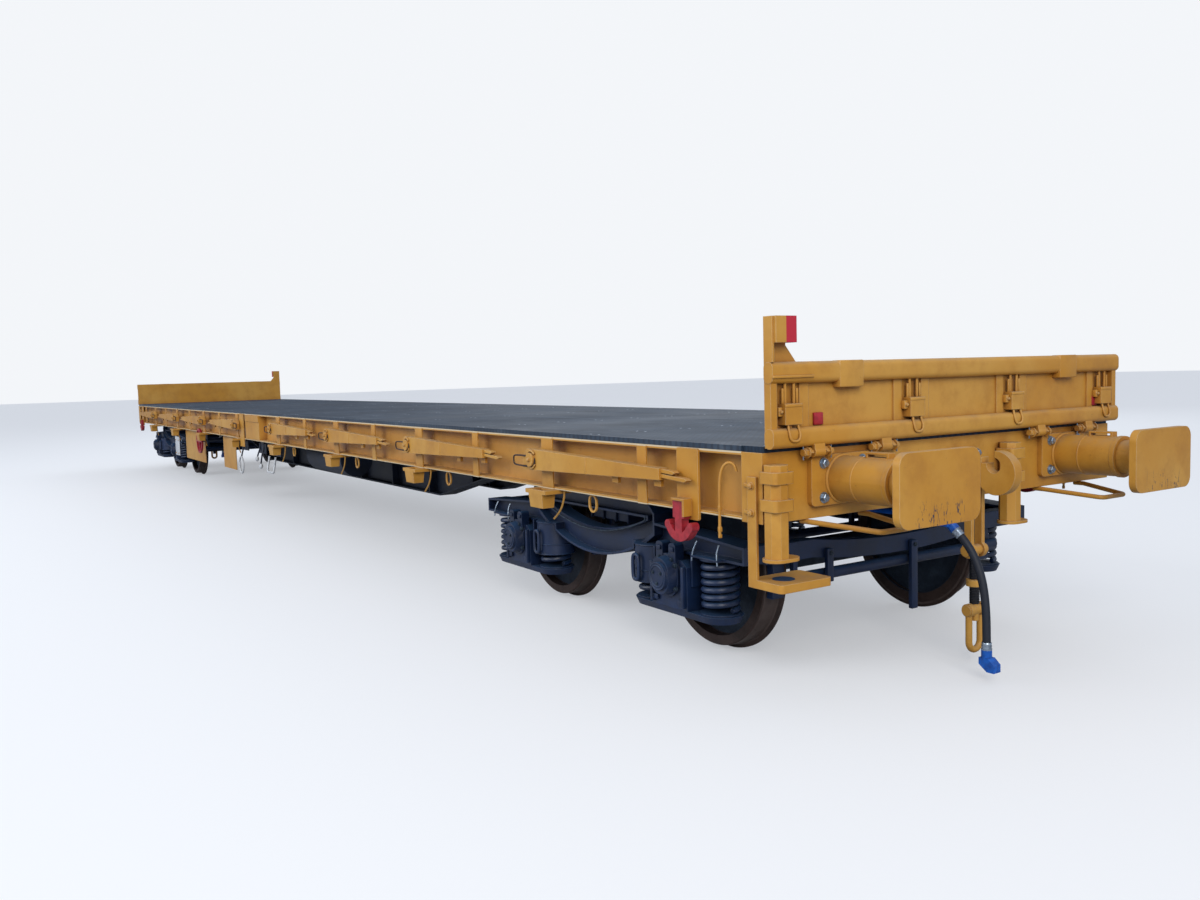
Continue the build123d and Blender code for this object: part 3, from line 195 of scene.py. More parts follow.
def yellowPaint(name, rustAmount, place="plain"):
    paint = Finish(name, specular=0.38)
    patches = paint.noise(0.9, 5.0, 0.6)
    cloud = paint.noise(5.5, 5.0, 0.65, shift=(3, 1, 7))
    grain = paint.noise(90.0, 3.0, 0.5)
    streaks = paint.noise(9.0, 4.0, 0.6, stretch=(1.0, 1.0, 0.12))
    crevice = paint.crevice(paintLook["creviceReach"])
    soft = paint.rounded(paintLook["edgeRound"])
    edge = paint.edge(soft, crevice)
    chips = paint.band(paint.noise(34.0, 4.0, 0.7, shift=(5, 5, 5)), 0.66, 0.72)
    # Painted shade: the paint turns to the shaded colour in corners and crevices
    cornerShade = paint.band(crevice, 0.12, 0.80) * paintLook["creviceShade"][place]
    colour = paint.mix(paint.band(patches, 0.42, 0.66), paintLook["fresh"], paintLook["sunned"])
    colour = paint.mix(paint.band(cloud, 0.40, 0.75) * 0.45, colour, paintLook["shaded"])
    colour = paint.mix(cornerShade, colour, paintLook["shaded"])
    if place == "sill":
        colour = sillRecess(paint, colour, streaks * 0.35 + cloud * 0.65)
    rust = paint.band(streaks * 0.55 + cloud * 0.35 + crevice * 0.42, 0.64, 0.92)
    colour = paint.mix(rust * rustAmount, colour, paintLook["rust"])
    colour = paint.mix(chips * (0.25 + edge * 0.6), colour, paintLook["rust"])
    # Cream along open edges: worn paint, and partly a painted highlight
    colour = paint.mix(edge * (1 - chips) * 0.72, colour, paintLook["creamWearAndHighlight"])
    dust = paint.band(paint.facing("Z"), 0.35, 0.95)
    colour = paint.mix(dust * paint.band(cloud, 0.25, 0.7) * 0.50, colour, paintLook["dust"])
    if place == "sill":
        colour = sillEdges(paint, colour, chips)
    if place == "board":
        colour = paint.mix(redCorner(paint), colour, paintLook["primer"])
    if place == "buffer":
        colour = paint.mix(bufferScuffs(paint), colour, paintLook["scuff"])
    height = grain * 0.35 + cloud * 0.65 - rust * 0.6 - chips * 0.5
    roughness = 0.36 + patches * 0.16 + rust * 0.35 + dust * 0.12
    return paint.out(colour, roughness, paint.bump(height, 0.30, 0.0015, soft))


# Stains on the sills' webs, between the flanges
def sillRecess(paint, colour, dirt):
    recess = 1 - paint.band(paint.fromMiddle("Y"), *sillLook["web"])
    stain = recess * paint.band(dirt, 0.50, 0.78)
    colour = paint.mix(recess * 0.70, colour, paintLook["recess"])
    return paint.mix(stain * 0.40, colour, paintLook["rust"])


# Cream edges of the two flanges, partly worn paint and partly a painted highlight, and the deck boards' edge
# above them
def sillEdges(paint, colour, chips):
    height = paint.axis("Z")
    outer = paint.past(paint.fromMiddle("Y"), sillLook["lip"])
    highlightedLips = paint.past(height, sillLook["upperLip"]) + (1 - paint.past(height, sillLook["lowerLip"]))
    # The flange lips' cream is partly a painted highlight
    colour = paint.mix(outer * highlightedLips * (1 - chips * 0.7), colour, paintLook["creamWearAndHighlight"])
    return paint.mix(paint.past(height, sillLook["boards"]), colour, deckColour(paint))


# The inner half of the stop block on the corner post is painted red
def redCorner(paint):
    high = paint.past(paint.axis("Z"), stopBlock["foot"])
    inner = 1 - paint.past(paint.fromMiddle("Y"), stopBlock["inner"])
    return high * inner * paint.past(paint.fromMiddle("X"), stopBlock["red"])


# Short dark scrapes low on the buffer faces
def bufferScuffs(paint):
    inputs = {"Vector": paint.place, "Rotation": scuffLook["tilt"], "Scale": scuffLook["stretch"]}
    tilted = paint.add("ShaderNodeMapping", {}, inputs)
    strokes = paint.add(
        "ShaderNodeTexNoise", {},
        {"Vector": tilted, "Scale": scuffLook["scale"], "Detail": 5.0, "Roughness": 0.72, "Distortion": 1.4},
    )
    side = (paint.fromMiddle("Y") - scuffLook["bufferY"]).math("ABSOLUTE")
    inside = 1 - paint.band(side, *scuffLook["side"])
    low = 1 - paint.band(paint.axis("Z"), *scuffLook["height"])
    face = paint.past(paint.fromMiddle("X"), scuffLook["face"], 0.00025)
    return paint.band(strokes, 0.585, 0.605) * inside * low * face


# Dark paint: a base colour, the dust and painted sheen that lighten tops and edges, and painted shade in the
# corners
gearRust = (0.034, 0.022, 0.020)


def darkPaint(name, base, dustAndSheen, dustAndSheenAmount, gloss):
    paint = Finish(name, specular=0.55)
    cloud = paint.noise(3.5, 6.0, 0.65)
    grime = paint.noise(26.0, 5.0, 0.6, shift=(2, 9, 4))
    crevice = paint.crevice(paintLook["creviceReach"])
    soft = paint.rounded(paintLook["edgeRound"])
    edge = paint.edge(soft, crevice)
    dust = paint.band(paint.facing("Z") + grime * 0.5, 0.55, 1.25) * dustAndSheenAmount
    colour = paint.mix(paint.band(cloud, 0.35, 0.7), base, darker(base, 2.0))
    # Dust and a painted sheen lighten the upward faces; worn edges also get a painted highlight
    colour = paint.mix(dust, colour, dustAndSheen)
    colour = paint.mix(edge * (0.25 + cloud * 0.45), colour, dustAndSheen)
    # Painted shade: darker in corners and crevices
    colour = paint.mix(paint.band(crevice, 0.1, 0.9) * 0.7, colour, darker(base, 0.4))
    rust = paint.band(grime * 0.6 + crevice * 0.3, 0.56, 0.80) * 0.30
    colour = paint.mix(rust, colour, gearRust)
    roughness = gloss + cloud * 0.22 + dust * 0.25
    return paint.out(colour, roughness, paint.bump(grime + cloud, 0.35, 0.002, soft))


# Wheels: rusty rims and treads round a dark dished web. The distance to the nearest
# axle gives the radius, because the four wheelsets stand as mirror images.
wheelLook = {
    "pivot": 7.43, "axle": 0.9, "height": 0.488, "rim": 0.395, "tread": (0.454, 0.468),
    "rust": (0.050, 0.029, 0.024), "bare": (0.120, 0.090, 0.080),
    "web": (0.008, 0.018, 0.038), "webDust": (0.035, 0.060, 0.095),
}


def wheelSteel():
    steel = Finish("wheelSteel", metallic=0.2)
    cloud = steel.noise(7.0, 6.0, 0.65)
    grain = steel.noise(70.0, 4.0, 0.6)
    along = (steel.fromMiddle("X") - wheelLook["pivot"]).math("ABSOLUTE") - wheelLook["axle"]
    up = steel.axis("Z") - wheelLook["height"]
    radius = (along * along + up * up) ** 0.5
    inner, outer = wheelLook["tread"]
    tread = steel.past(radius, inner, 0.002) * (1 - steel.past(radius, outer, 0.002))
    web = steel.mix(steel.band(cloud * 0.7 + grain * 0.3, 0.42, 0.68), wheelLook["web"], wheelLook["webDust"])
    rust = steel.mix(steel.band(cloud, 0.35, 0.7), wheelLook["rust"], darker(wheelLook["rust"], 0.45))
    colour = steel.mix(steel.past(radius, wheelLook["rim"], 0.003), web, rust)
    colour = steel.mix(tread * steel.band(cloud, 0.3, 0.6) * 0.7, colour, wheelLook["bare"])
    return steel.out(colour, 0.50 + grain * 0.3 - tread * 0.15, steel.bump(grain + cloud, 0.4, 0.0015))


# Deck boards: dark film with a pressed mesh, each board a little different
deckLook = {
    "light": (0.034, 0.060, 0.098),
    "dark": (0.011, 0.024, 0.045),
    "worn": (0.085, 0.115, 0.150),
    "mesh": (0.008, 0.014, 0.027),
    "meshScale": 9.0,
    "board": 1.555,  # length of one board, m
}


def deckMesh(board):
    waves = []
    for angle in (45, -45):
        inputs = {"Vector": board.place, "Rotation": (0, 0, math.radians(angle))}
        crossing = board.add("ShaderNodeMapping", {}, inputs)
        inputs = {"Vector": crossing, "Scale": deckLook["meshScale"]}
        waves.append(board.add("ShaderNodeTexWave", {}, inputs))
    return waves[0].math("MAXIMUM", waves[1])


def deckColour(board):
    cloud = board.noise(1.3, 6.0, 0.65)
    stain = board.noise(7.0, 5.0, 0.6, stretch=(0.5, 1.0, 1.0), shift=(4, 4, 0))
    number = (board.axis("X") * (1 / deckLook["board"])).math("FLOOR")
    shade = board.add("ShaderNodeTexWhiteNoise", {"noise_dimensions": "1D"}, {"W": number})
    drag = board.noise(2.2, 3.0, 0.5, stretch=(0.10, 1.0, 1.0), shift=(0, 7, 0))
    colour = board.mix(board.band(cloud, 0.35, 0.7), deckLook["dark"], deckLook["light"])
    colour = board.mix(shade * 0.30, colour, deckLook["light"])
    colour = board.mix(board.band(stain, 0.50, 0.78) * 0.7, colour, deckLook["worn"])
    colour = board.mix(board.band(drag, 0.60, 0.66) * 0.45, colour, deckLook["worn"])
    return board.mix(board.band(deckMesh(board), 0.55, 0.95) * 0.55, colour, deckLook["mesh"])


def deckBoard():
    board = Finish("deckBoard", specular=0.22)
    wet = board.noise(0.8, 4.0, 0.6, shift=(9, 2, 0))
    return board.out(deckColour(board), 0.48 + wet * 0.35, board.bump(deckMesh(board), 0.7, 0.0018))


# Small fittings: two shades in a fine cloud, with painted shade darkening the corners
def plainFinish(name, light, dark, roughness, metallic=0.0):
    finish = Finish(name, metallic=metallic)
    cloud = finish.noise(30.0, 5.0, 0.6)
    colour = finish.mix(finish.band(cloud, 0.35, 0.7), light, dark)
    # Painted shade in the corners
    colour = finish.mix(finish.crevice(0.03) * 0.7, colour, darker(dark, 0.3))
    return finish.out(colour, roughness + cloud * 0.2, finish.bump(cloud, 0.2, 0.001))


finishes = {
    "yellow_paint": yellowPaint("yellowPaint", 0.50),
    "black_frame": darkPaint("blackFrame", (0.0030, 0.0080, 0.0220), (0.026, 0.048, 0.082), 0.45, 0.44),
    "running_gear": darkPaint("runningGear", (0.0015, 0.0100, 0.0390), (0.024, 0.074, 0.170), 0.66, 0.34),
    "spring_steel": darkPaint("springSteel", (0.0015, 0.0095, 0.0360), (0.026, 0.070, 0.150), 0.55, 0.30),
    "wheel_steel": wheelSteel(),
    "deck_board": deckBoard(),
    "red_paint": plainFinish("redPaint", (0.430, 0.020, 0.034), (0.270, 0.012, 0.022), 0.34),
    "blue_paint": plainFinish("bluePaint", (0.003, 0.115, 0.540), (0.002, 0.055, 0.300), 0.26),
    "hose_rubber": plainFinish("hoseRubber", (0.005, 0.009, 0.020), (0.009, 0.014, 0.027), 0.5),
}
special = {
    "side_sills": yellowPaint("sillPaint", 0.45, "sill"),
    "end_board_near": yellowPaint("boardPaint", 0.35, "board"),
    "buffer_heads": yellowPaint("bufferPaint", 0.25, "buffer"),
}
special["end_board_far"] = special["end_board_near"]
boltSteel = plainFinish("boltSteel", (0.40, 0.48, 0.58), (0.20, 0.26, 0.34), 0.26, 0.75)
darkBoltAndLipHighlight = plainFinish("darkBoltAndLipHighlight", (0.040, 0.066, 0.100), (0.014, 0.024, 0.040), 0.32, 0.3)
greasedSteel = plainFinish("greasedSteel", (0.012, 0.014, 0.022), (0.030, 0.030, 0.036), 0.22, 0.3)
signWhite = plainFinish("signWhite", (0.72, 0.74, 0.76), (0.55, 0.57, 0.60), 0.45)
slots = {entry["node"]: entry["material_slot"] for entry in frame["record"]["subparts"]}
for nodeName, node in nodes.items():
    node.data.materials.clear()
    node.data.materials.append(special.get(nodeName) or finishes[slots[nodeName]])
print("finishes ready")


# Making and placing of pieces
def newPiece(name, shape, body, slot, material=None):
    bmesh.ops.recalc_face_normals(shape, faces=shape.faces)
    smoothFaces(shape)
    mesh = bpy.data.meshes.new(name)
    shape.to_mesh(mesh)
    shape.free()
    return placed(name, mesh, body, slot, material)


def placed(name, data, body, slot, material):
    data.materials.append(material or finishes[slot])
    piece = bpy.data.objects.new(name, data)
    bpy.context.scene.collection.objects.link(piece)
    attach(piece, body)
    return piece


def smoothFaces(shape, limit=35.0):  # edges that turn by more degrees stay sharp
    for face in shape.faces:
        face.smooth = True
    for edge in shape.edges:
        if len(edge.link_faces) == 2 and edge.calc_face_angle() > math.radians(limit):
            edge.smooth = False


# The same shape at the near end and, by a half turn, at the far end
def atBothEnds(name, shape, body, slot, material=None):
    for end, turn in turns.items():
        copy = shape.copy()
        bmesh.ops.transform(copy, matrix=turn, verts=copy.verts)
        newPiece(f"{name}_{end}", copy, body.format(end=end), slot, material)
    shape.free()


# The same shape on both sides of both ends, as mirror images
def atFourCorners(name, shape, slot):
    for across in ("Y", "X"):
        copy = shape.verts[:] + shape.edges[:] + shape.faces[:]
        bmesh.ops.mirror(shape, geom=copy, axis=across, merge_dist=-1.0)
    newPiece(name, shape, "wagon", slot)


fourCorners = [(end, side) for end in (-1, 1) for side in (-1, 1)]
toward = {  # turns that lay a length along a direction
    "+X": Matrix.Rotation(math.pi / 2, 4, "Y"),
    "-Y": Matrix.Rotation(math.pi / 2, 4, "X"),
    "+Y": Matrix.Rotation(-math.pi / 2, 4, "X"),
    "+Z": Matrix.Identity(4),
}


def bevelled(shape, edges, reach, steps):
    bmesh.ops.bevel(
        shape, geom=edges, offset=reach, offset_type="OFFSET", affect="EDGES", segments=steps, profile=0.5,
        material=-1,
    )


def bar(shape, centre, size):
    spot = Matrix.Translation(centre) @ Matrix.Diagonal((*size, 1.0))
    made = bmesh.ops.create_cube(shape, size=1.0, matrix=spot)
    return list({edge for vert in made["verts"] for edge in vert.link_edges})


def block(shape, centre, size, edge=0.002):  # a bar or plate with broken edges
    bevelled(shape, bar(shape, centre, size), edge, steps=2)


def cone(shape, spot, start, depth, foot, tip, sides):
    place = spot @ Matrix.Translation((0, 0, start + depth / 2))
    bmesh.ops.create_cone(
        shape, cap_ends=True, segments=sides, radius1=foot, radius2=tip, depth=depth, matrix=place
    )


def cones(shape, spot, sections, size=1.0):  # start, depth, foot and tip radius, sides
    for start, depth, foot, tip, sides in sections:
        cone(shape, spot, start * size, depth * size, foot * size, tip * size, sides)


boltSections = (  # washer, hexagon nut, its chamfer and the stud's end, in nut radii
    (0, 0.22, 1.35, 1.3, 16), (0.22, 0.75, 1, 1, 6), (0.97, 0.12, 1, 0.82, 6), (1.09, 0.35, 0.52, 0.45, 10),
)


def bolt(shape, centre, way, size):
    cones(shape, Matrix.Translation(centre) @ toward[way], boltSections, size)


def ring(shape, centre, way, radius, rod, sides=8, steps=28):
    spot = Matrix.Translation(centre) @ toward[way]
    section = spot @ Matrix.Translation((radius, 0, 0)) @ Matrix.Rotation(math.pi / 2, 4, "X")
    made = bmesh.ops.create_circle(shape, segments=sides, radius=rod, matrix=section)
    edges = list({edge for vert in made["verts"] for edge in vert.link_edges})
    bmesh.ops.spin(
        shape, geom=made["verts"] + edges, cent=centre, axis=spot.to_3x3() @ Vector((0, 0, 1)),
        angle=2 * math.pi, steps=steps, use_merge=True,
    )


# Round rods bent along routes of points, each one open or closed line. Smooth gives the
# steps between two points and round the rod.
def rodPiece(name, routes, radius, body, slot, material=None, closed=False, smooth=(5, 2)):
    line = bpy.data.curves.new(name, "CURVE")
    line.dimensions = "3D"
    for route in routes:
        spline = line.splines.new("NURBS")
        spline.points.add(len(route) - 1)
        for point, place in zip(spline.points, route):
            point.co = (*place, 1.0)
        spline.order_u = 3
        spline.use_cyclic_u = closed
        spline.use_endpoint_u = not closed
        spline.resolution_u = smooth[0]
    line.bevel_depth = radius
    line.bevel_resolution = smooth[1]
    line.use_fill_caps = True
    return placed(name, line, body, slot, material)


def turned(routes, turn):
    return [[turn @ Vector(place) for place in route] for route in routes]


def roundedLoop(left, right, foot, head, cutX, cutZ):  # corners of a closed loop, cut off
    return [
        (left + cutX, foot), (left, foot + cutZ), (left, head - cutZ), (left + cutX, head),
        (right - cutX, head), (right, head - cutZ), (right, foot + cutZ), (right - cutX, foot),
    ]


# Coil springs in place of the plain spring columns
coil = {
    "wire": 0.017, "turns": 6.2, "stepsPerTurn": 22, "sides": 8,
    "seat": 0.010, "seatRim": 0.006, "seatSides": 28,
    "wheelbase": 1.8, "fromAxle": 0.3, "radius": 0.11, "journalY": 1.12,
}


def coilSpring(shape, centre, foot, head):
    rise = head - foot - 2 * coil["wire"] - 2 * coil["seat"]
    start = Vector((centre.x + coil["radius"] - coil["wire"], centre.y, foot + coil["seat"] + coil["wire"]))
    wire = bmesh.ops.create_circle(
        shape, cap_ends=True, segments=coil["sides"], radius=coil["wire"],
        matrix=Matrix.Translation(start) @ Matrix.Rotation(math.pi / 2, 4, "X"),
    )
    steps = int(coil["turns"] * coil["stepsPerTurn"])
    face = wire["verts"][0].link_faces[0]
    bmesh.ops.spin(
        shape, geom=[face, *face.edges, *face.verts], cent=centre, axis=(0, 0, 1),
        dvec=(0, 0, rise / steps), angle=2 * math.pi * coil["turns"], steps=steps,
    )
    seat = coil["radius"] + coil["seatRim"]
    for height in (foot, head - coil["seat"]):
        spot = Matrix.Translation((centre.x, centre.y, height))
        cone(shape, spot, 0, coil["seat"], seat, seat, coil["seatSides"])


def springSets():
    for end in turns:
        low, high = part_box(f"springs_{end}")
        pivot = (low.x + high.x) / 2
        shape = bmesh.new()
        for axle in (-coil["wheelbase"] / 2, coil["wheelbase"] / 2):
            for side in (-1, 1):
                for across in (-1, 1):
                    centre = Vector((pivot + axle + side * coil["fromAxle"], across * coil["journalY"], 0))
                    coilSpring(shape, centre, low.z, high.z)
        springs = newPiece(f"coilSprings_{end}", shape, f"bogie_{end}", "spring_steel")
        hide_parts(f"springs_{end}")


springSets()
print("springs wound")

# Brake hoses: the route's points are the part's own, in metres
hose = {
    "radius": 0.021, "lead": 0.085, "nozzle": 0.085, "smooth": (12, 4),
    "cock": Vector((9.455, -0.275, 0.832)),
    "way": Vector((0.693, 0.141, -0.707)).normalized(),
    "steps": (
        (0.049, 0.010, -0.087), (0.033, 0.007, -0.104), (0.016, 0.003, -0.119), (0.005, 0.001, -0.125),
        (0, 0, -0.107),
    ),
    "sleeve": (  # start, depth, foot and tip radius, sides
        (-0.004, 0.010, 0.0270, 0.0275, 24), (0.006, 0.010, 0.0250, 0.0240, 24),
        (0.016, 0.006, 0.0262, 0.0262, 24), (0.022, 0.010, 0.0240, 0.0240, 24),
        (0.032, 0.006, 0.0258, 0.0235, 24),
    ),
}
hoseRoute = [hose["cock"] + hose["way"] * hose["nozzle"]]
hoseRoute.append(hoseRoute[0] + hose["way"] * hose["lead"])
for hoseStep in hose["steps"]:
    hoseRoute.append(hoseRoute[-1] + Vector(hoseStep))


# A crimped sleeve at each end of the hose
def hoseSleeves(end, turn):
    shape = bmesh.new()
    for place, way in ((hoseRoute[0], hose["way"]), (hoseRoute[-1], hoseRoute[-2] - hoseRoute[-1])):
        spot = turn @ Matrix.Translation(place) @ way.to_track_quat("Z", "Y").to_matrix().to_4x4()
        cones(shape, spot, hose["sleeve"])
    return newPiece(f"hoseSleeves_{end}", shape, "wagon", "wheel_steel", boltSteel)


def brakeHoses():
    for end, turn in turns.items():
        routes = turned([hoseRoute], turn)
        piece = rodPiece(
            f"brakeHose_{end}", routes, hose["radius"], "wagon", "hose_rubber", smooth=hose["smooth"]
        )
        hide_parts(f"brake_hose_{end}")
        hoseSleeves(end, turn)


brakeHoses()
print("hoses hung")

# Fittings of the ends: buffer and hook bolts, and the buffers' welds
wagonEnd = {
    "face": 9.33, "basePlate": 0.03, "bufferY": 0.925, "bufferZ": 1.088, "casing": 0.114,
    "boltY": 0.135, "boltZ": 0.085, "boltSize": 0.021,
    "hookPlate": 0.025, "hookZ": 1.058, "hookBoltY": 0.122, "hookBoltZ": 0.088, "hookBoltSize": 0.01785,
    "welds": ((0.002, 0.002, 0.009), (0.152, -0.001, 0.004)),  # out of the plate, over the casing, rod
}


def endBolts():
    shape = bmesh.new()
    plate = wagonEnd["face"] + wagonEnd["basePlate"]
    for across in (-1, 1):
        for up in (-1, 1):
            for side in (-1, 1):
                y = side * wagonEnd["bufferY"] + across * wagonEnd["boltY"]
                centre = (plate, y, wagonEnd["bufferZ"] + up * wagonEnd["boltZ"])
                bolt(shape, centre, "+X", wagonEnd["boltSize"])
            hookBoltZ = wagonEnd["hookZ"] + up * wagonEnd["hookBoltZ"]
            centre = (wagonEnd["face"] + wagonEnd["hookPlate"], across * wagonEnd["hookBoltY"], hookBoltZ)
            bolt(shape, centre, "+X", wagonEnd["hookBoltSize"])
    atBothEnds("endBolts", shape, "wagon", "wheel_steel", boltSteel)


def bufferWelds():
    shape = bmesh.new()
    plate = wagonEnd["face"] + wagonEnd["basePlate"]
    for side in (-1, 1):
        for out, over, rod in wagonEnd["welds"]:
            centre = Vector((plate + out, side * wagonEnd["bufferY"], wagonEnd["bufferZ"]))
            ring(shape, centre, "+X", wagonEnd["casing"] + over, rod, steps=48)
    atBothEnds("bufferWelds", shape, "wagon", "yellow_paint")


# Castle nuts and split pins on both ends of the board's hinge pins
hinge = {
    "x": 9.38, "z": 1.233, "places": (-1.12, -0.65, 0.65, 1.12), "reach": 0.068,
    "nut": (  # start, depth, foot and tip radius, sides
        (0, 0.005, 0.02875, 0.02875, 20), (0.005, 0.016, 0.023, 0.023, 6),
        (0.021, 0.008, 0.0184, 0.01748, 12),
    ),
    "pinOut": 0.025, "pin": ((-0.034, 0.068, 0.0035, 0.0035, 8),),
}


def castleNuts():
    nuts = bmesh.new()
    pins = bmesh.new()
    for place in hinge["places"]:
        for side, way in ((-1, "-Y"), (1, "+Y")):
            centre = Vector((hinge["x"], place + side * hinge["reach"], hinge["z"]))
            cones(nuts, Matrix.Translation(centre) @ toward[way], hinge["nut"])
            cones(pins, Matrix.Translation(centre + Vector((0, side * hinge["pinOut"], 0))), hinge["pin"])
    atBothEnds("castleNuts", nuts, "wagon", "yellow_paint")
    atBothEnds("splitPins", pins, "wagon", "wheel_steel", boltSteel)


# A dark round disc on the corner step's tread, and the bolts and tabs of its hanger
cornerStep = {
    "tread": (9.352, -1.325, 0.634), "darkDisc": ((-0.002, 0.0035, 0.056, 0.054, 40),),
    "hanger": (9.266, -1.444), "bolts": (1.085, 0.955), "boltSize": 0.015,
    "tab": (-0.045, 0.010), "tabSize": (0.030, 0.014, 0.020),
}


def stepFittings():
    darkDisc = bmesh.new()
    cones(darkDisc, Matrix.Translation(cornerStep["tread"]), cornerStep["darkDisc"])
    atBothEnds("stepDarkDiscs", darkDisc, "wagon", "running_gear")
    shape = bmesh.new()
    x, y = cornerStep["hanger"]
    tabX, tabY = cornerStep["tab"]
    for z in cornerStep["bolts"]:
        bolt(shape, (x, y, z), "-Y", cornerStep["boltSize"])
        block(shape, (x + tabX, y + tabY, z), cornerStep["tabSize"])
    atBothEnds("stepBolts", shape, "wagon", "yellow_paint")


endBolts()
bufferWelds()
castleNuts()
stepFittings()
print("end fittings made")

# Screw couplings: greased thread between the trunnions
screw = {
    "x": 9.43, "radius": 0.0235, "ridgeRadius": 0.0245, "ridge": 0.0032, "pitch": 0.009,
    "runs": ((0.332, 0.428), (0.468, 0.596)),  # foot and head of each length of thread
}


def screwThreads():
    shape = bmesh.new()
    for foot, head in screw["runs"]:
        spot = Matrix.Translation((screw["x"], 0, 0))
        cone(shape, spot, foot, head - foot, screw["radius"], screw["radius"], sides=20)
        for number in range(int((head - foot) / screw["pitch"])):
            centre = Vector((screw["x"], 0, foot + (number + 0.5) * screw["pitch"]))
            ring(shape, centre, "+Z", screw["ridgeRadius"], screw["ridge"], sides=6, steps=20)
    atBothEnds("screwThreads", shape, "wagon", "yellow_paint", greasedSteel)


screwThreads()
print("screws cut")

# End boards: deep tubes and pads over the plain ones
endBoard = {
    "back": 9.3405, "depth": 0.0615, "halfWidth": 1.4225, "round": 0.028,
    "tubes": ((1.619, 0.051), (1.310, 0.048)),  # middle height, half height
    "pads": (-0.9, 0.9), "padX": 9.373, "padZ": 1.606, "padSize": (0.060, 0.165, 0.132),
}


def boardTubes():
    shape = bmesh.new()
    for middle, half in endBoard["tubes"]:
        centre = (endBoard["back"] + endBoard["depth"] / 2, 0, middle)
        edges = bar(shape, centre, (endBoard["depth"], 2 * endBoard["halfWidth"], 2 * half))
        alongBoard = [edge for edge in edges if edge.calc_length() > endBoard["halfWidth"]]
        bevelled(shape, alongBoard, endBoard["round"], steps=6)
    for pad in endBoard["pads"]:
        block(shape, (endBoard["padX"], pad, endBoard["padZ"]), endBoard["padSize"], edge=0.006)
    atBothEnds("boardTubes", shape, "board_{end}", "yellow_paint")


# Latches: wire handles, ears and guide bars, and a bar and red tabs on the board. The
# offsets are from the latch's middle at its foot.
latch = {
    "places": (-1.29, -0.42, 0.42, 1.29), "x": 9.402, "foot": 1.373,
    "handle": (
        (-0.012, 0.030, 0.012), (-0.004, 0.033, -0.020), (0.006, 0.034, -0.050), (0.007, 0.026, -0.074),
    ),
    "handleFoot": (0.007, 0, -0.080), "handleRod": 0.0065,
    "bars": (  # offset, size, broken edge
        ((-0.030, -0.068, 0.062), (0.028, 0.026, 0.044), 0.004),
        ((-0.002, 0, 0.090), (0.010, 0.112, 0.014), 0.003),
        ((-0.030, -0.046, 0.135), (0.012, 0.014, 0.075), 0.003),
        ((-0.030, 0.046, 0.135), (0.012, 0.014, 0.075), 0.003),
    ),
    "earBolt": (-0.016, -0.068, 0.062), "earBoltSize": 0.009,
    "edgeBar": (9.406, -1.295, 1.600), "edgeBarSize": (0.012, 0.262, 0.013),
    "tabs": ((9.356, -1.09, 1.392), (9.356, 1.235, 1.392)), "tabSize": (0.014, 0.060, 0.060),
}


def latchFittings():
    ears = bmesh.new()
    handles = []
    for y in latch["places"]:
        middle = Vector((latch["x"], y, latch["foot"]))
        left = [middle + Vector((out, -side, up)) for out, side, up in latch["handle"]]
        right = [middle + Vector((out, side, up)) for out, side, up in reversed(latch["handle"])]
        handles.append([*left, middle + Vector(latch["handleFoot"]), *right])
        for offset, size, edge in latch["bars"]:
            block(ears, middle + Vector(offset), size, edge)
        bolt(ears, middle + Vector(latch["earBolt"]), "+X", latch["earBoltSize"])
    block(ears, latch["edgeBar"], latch["edgeBarSize"], edge=0.003)
    atBothEnds("latchEars", ears, "board_{end}", "yellow_paint")
    for end, turn in turns.items():
        there = turned(handles, turn)
        rodPiece(f"latchHandles_{end}", there, latch["handleRod"], f"board_{end}", "yellow_paint")


def redTabs():
    shape = bmesh.new()
    for centre in latch["tabs"]:
        block(shape, centre, latch["tabSize"], edge=0.003)
    atBothEnds("redTabs", shape, "board_{end}", "red_paint")


boardTubes()
latchFittings()
redTabs()
print("end boards fitted")

# Side stakes: each has a loop round its root, an open curl and a bolt at its boss, and
# a welded band half along it
stake = {
    "places": (7.23, 5.13, 3.03, 0.93), "z": 1.10, "rodY": 1.516,
    "loop": (-0.235, 0.045, -0.045, 0.022), "loopCut": 0.016, "loopRod": 0.0055,  # left, right, foot, head
    "curl": (0.060, 0.058), "curlAngles": range(40, 331, 29), "curlRod": 0.0065,
    "bandX": 0.650, "bandY": -1.4795, "bandSize": (0.014, 0.0665, 0.103), "bossY": -1.532, "bossBolt": 0.012,
}


def stakeRods():
    loops, curls = [], []
    loop = roundedLoop(*stake["loop"], stake["loopCut"], stake["loopCut"])
    width, height = stake["curl"]
    angles = [math.radians(angle) for angle in stake["curlAngles"]]
    curl = [(width * math.cos(angle), height * math.sin(angle)) for angle in angles]
    for end, side in fourCorners:
        for place in stake["places"]:
            loops.append([(end * (place + x), side * stake["rodY"], stake["z"] + z) for x, z in loop])
            curls.append([(end * (place + x), side * stake["rodY"], stake["z"] + z) for x, z in curl])
    rodPiece("stakeLoops", loops, stake["loopRod"], "wagon", "wheel_steel", closed=True)
    rodPiece("stakeCurls", curls, stake["curlRod"], "wagon", "yellow_paint")


def stakeBands():
    shape = bmesh.new()
    for place in stake["places"]:
        block(shape, (place + stake["bandX"], stake["bandY"], stake["z"]), stake["bandSize"])
        bolt(shape, (place, stake["bossY"], stake["z"]), "-Y", stake["bossBolt"])
    atFourCorners("stakeBands", shape, "yellow_paint")


# A bent strap hangs behind each socket, out from the stake's place
strap = {
    "route": ((0.225, 0.905), (0.222, 0.870), (0.180, 0.787), (0.100, 0.724), (0.085, 0.716)),
    "y": 1.405, "rod": 0.007,
}


def socketStraps():
    routes = []
    for end, side in fourCorners:
        for place in stake["places"]:
            routes.append([(end * (place + along), side * strap["y"], z) for along, z in strap["route"]])
    rodPiece("socketStraps", routes, strap["rod"], "wagon", "yellow_paint")


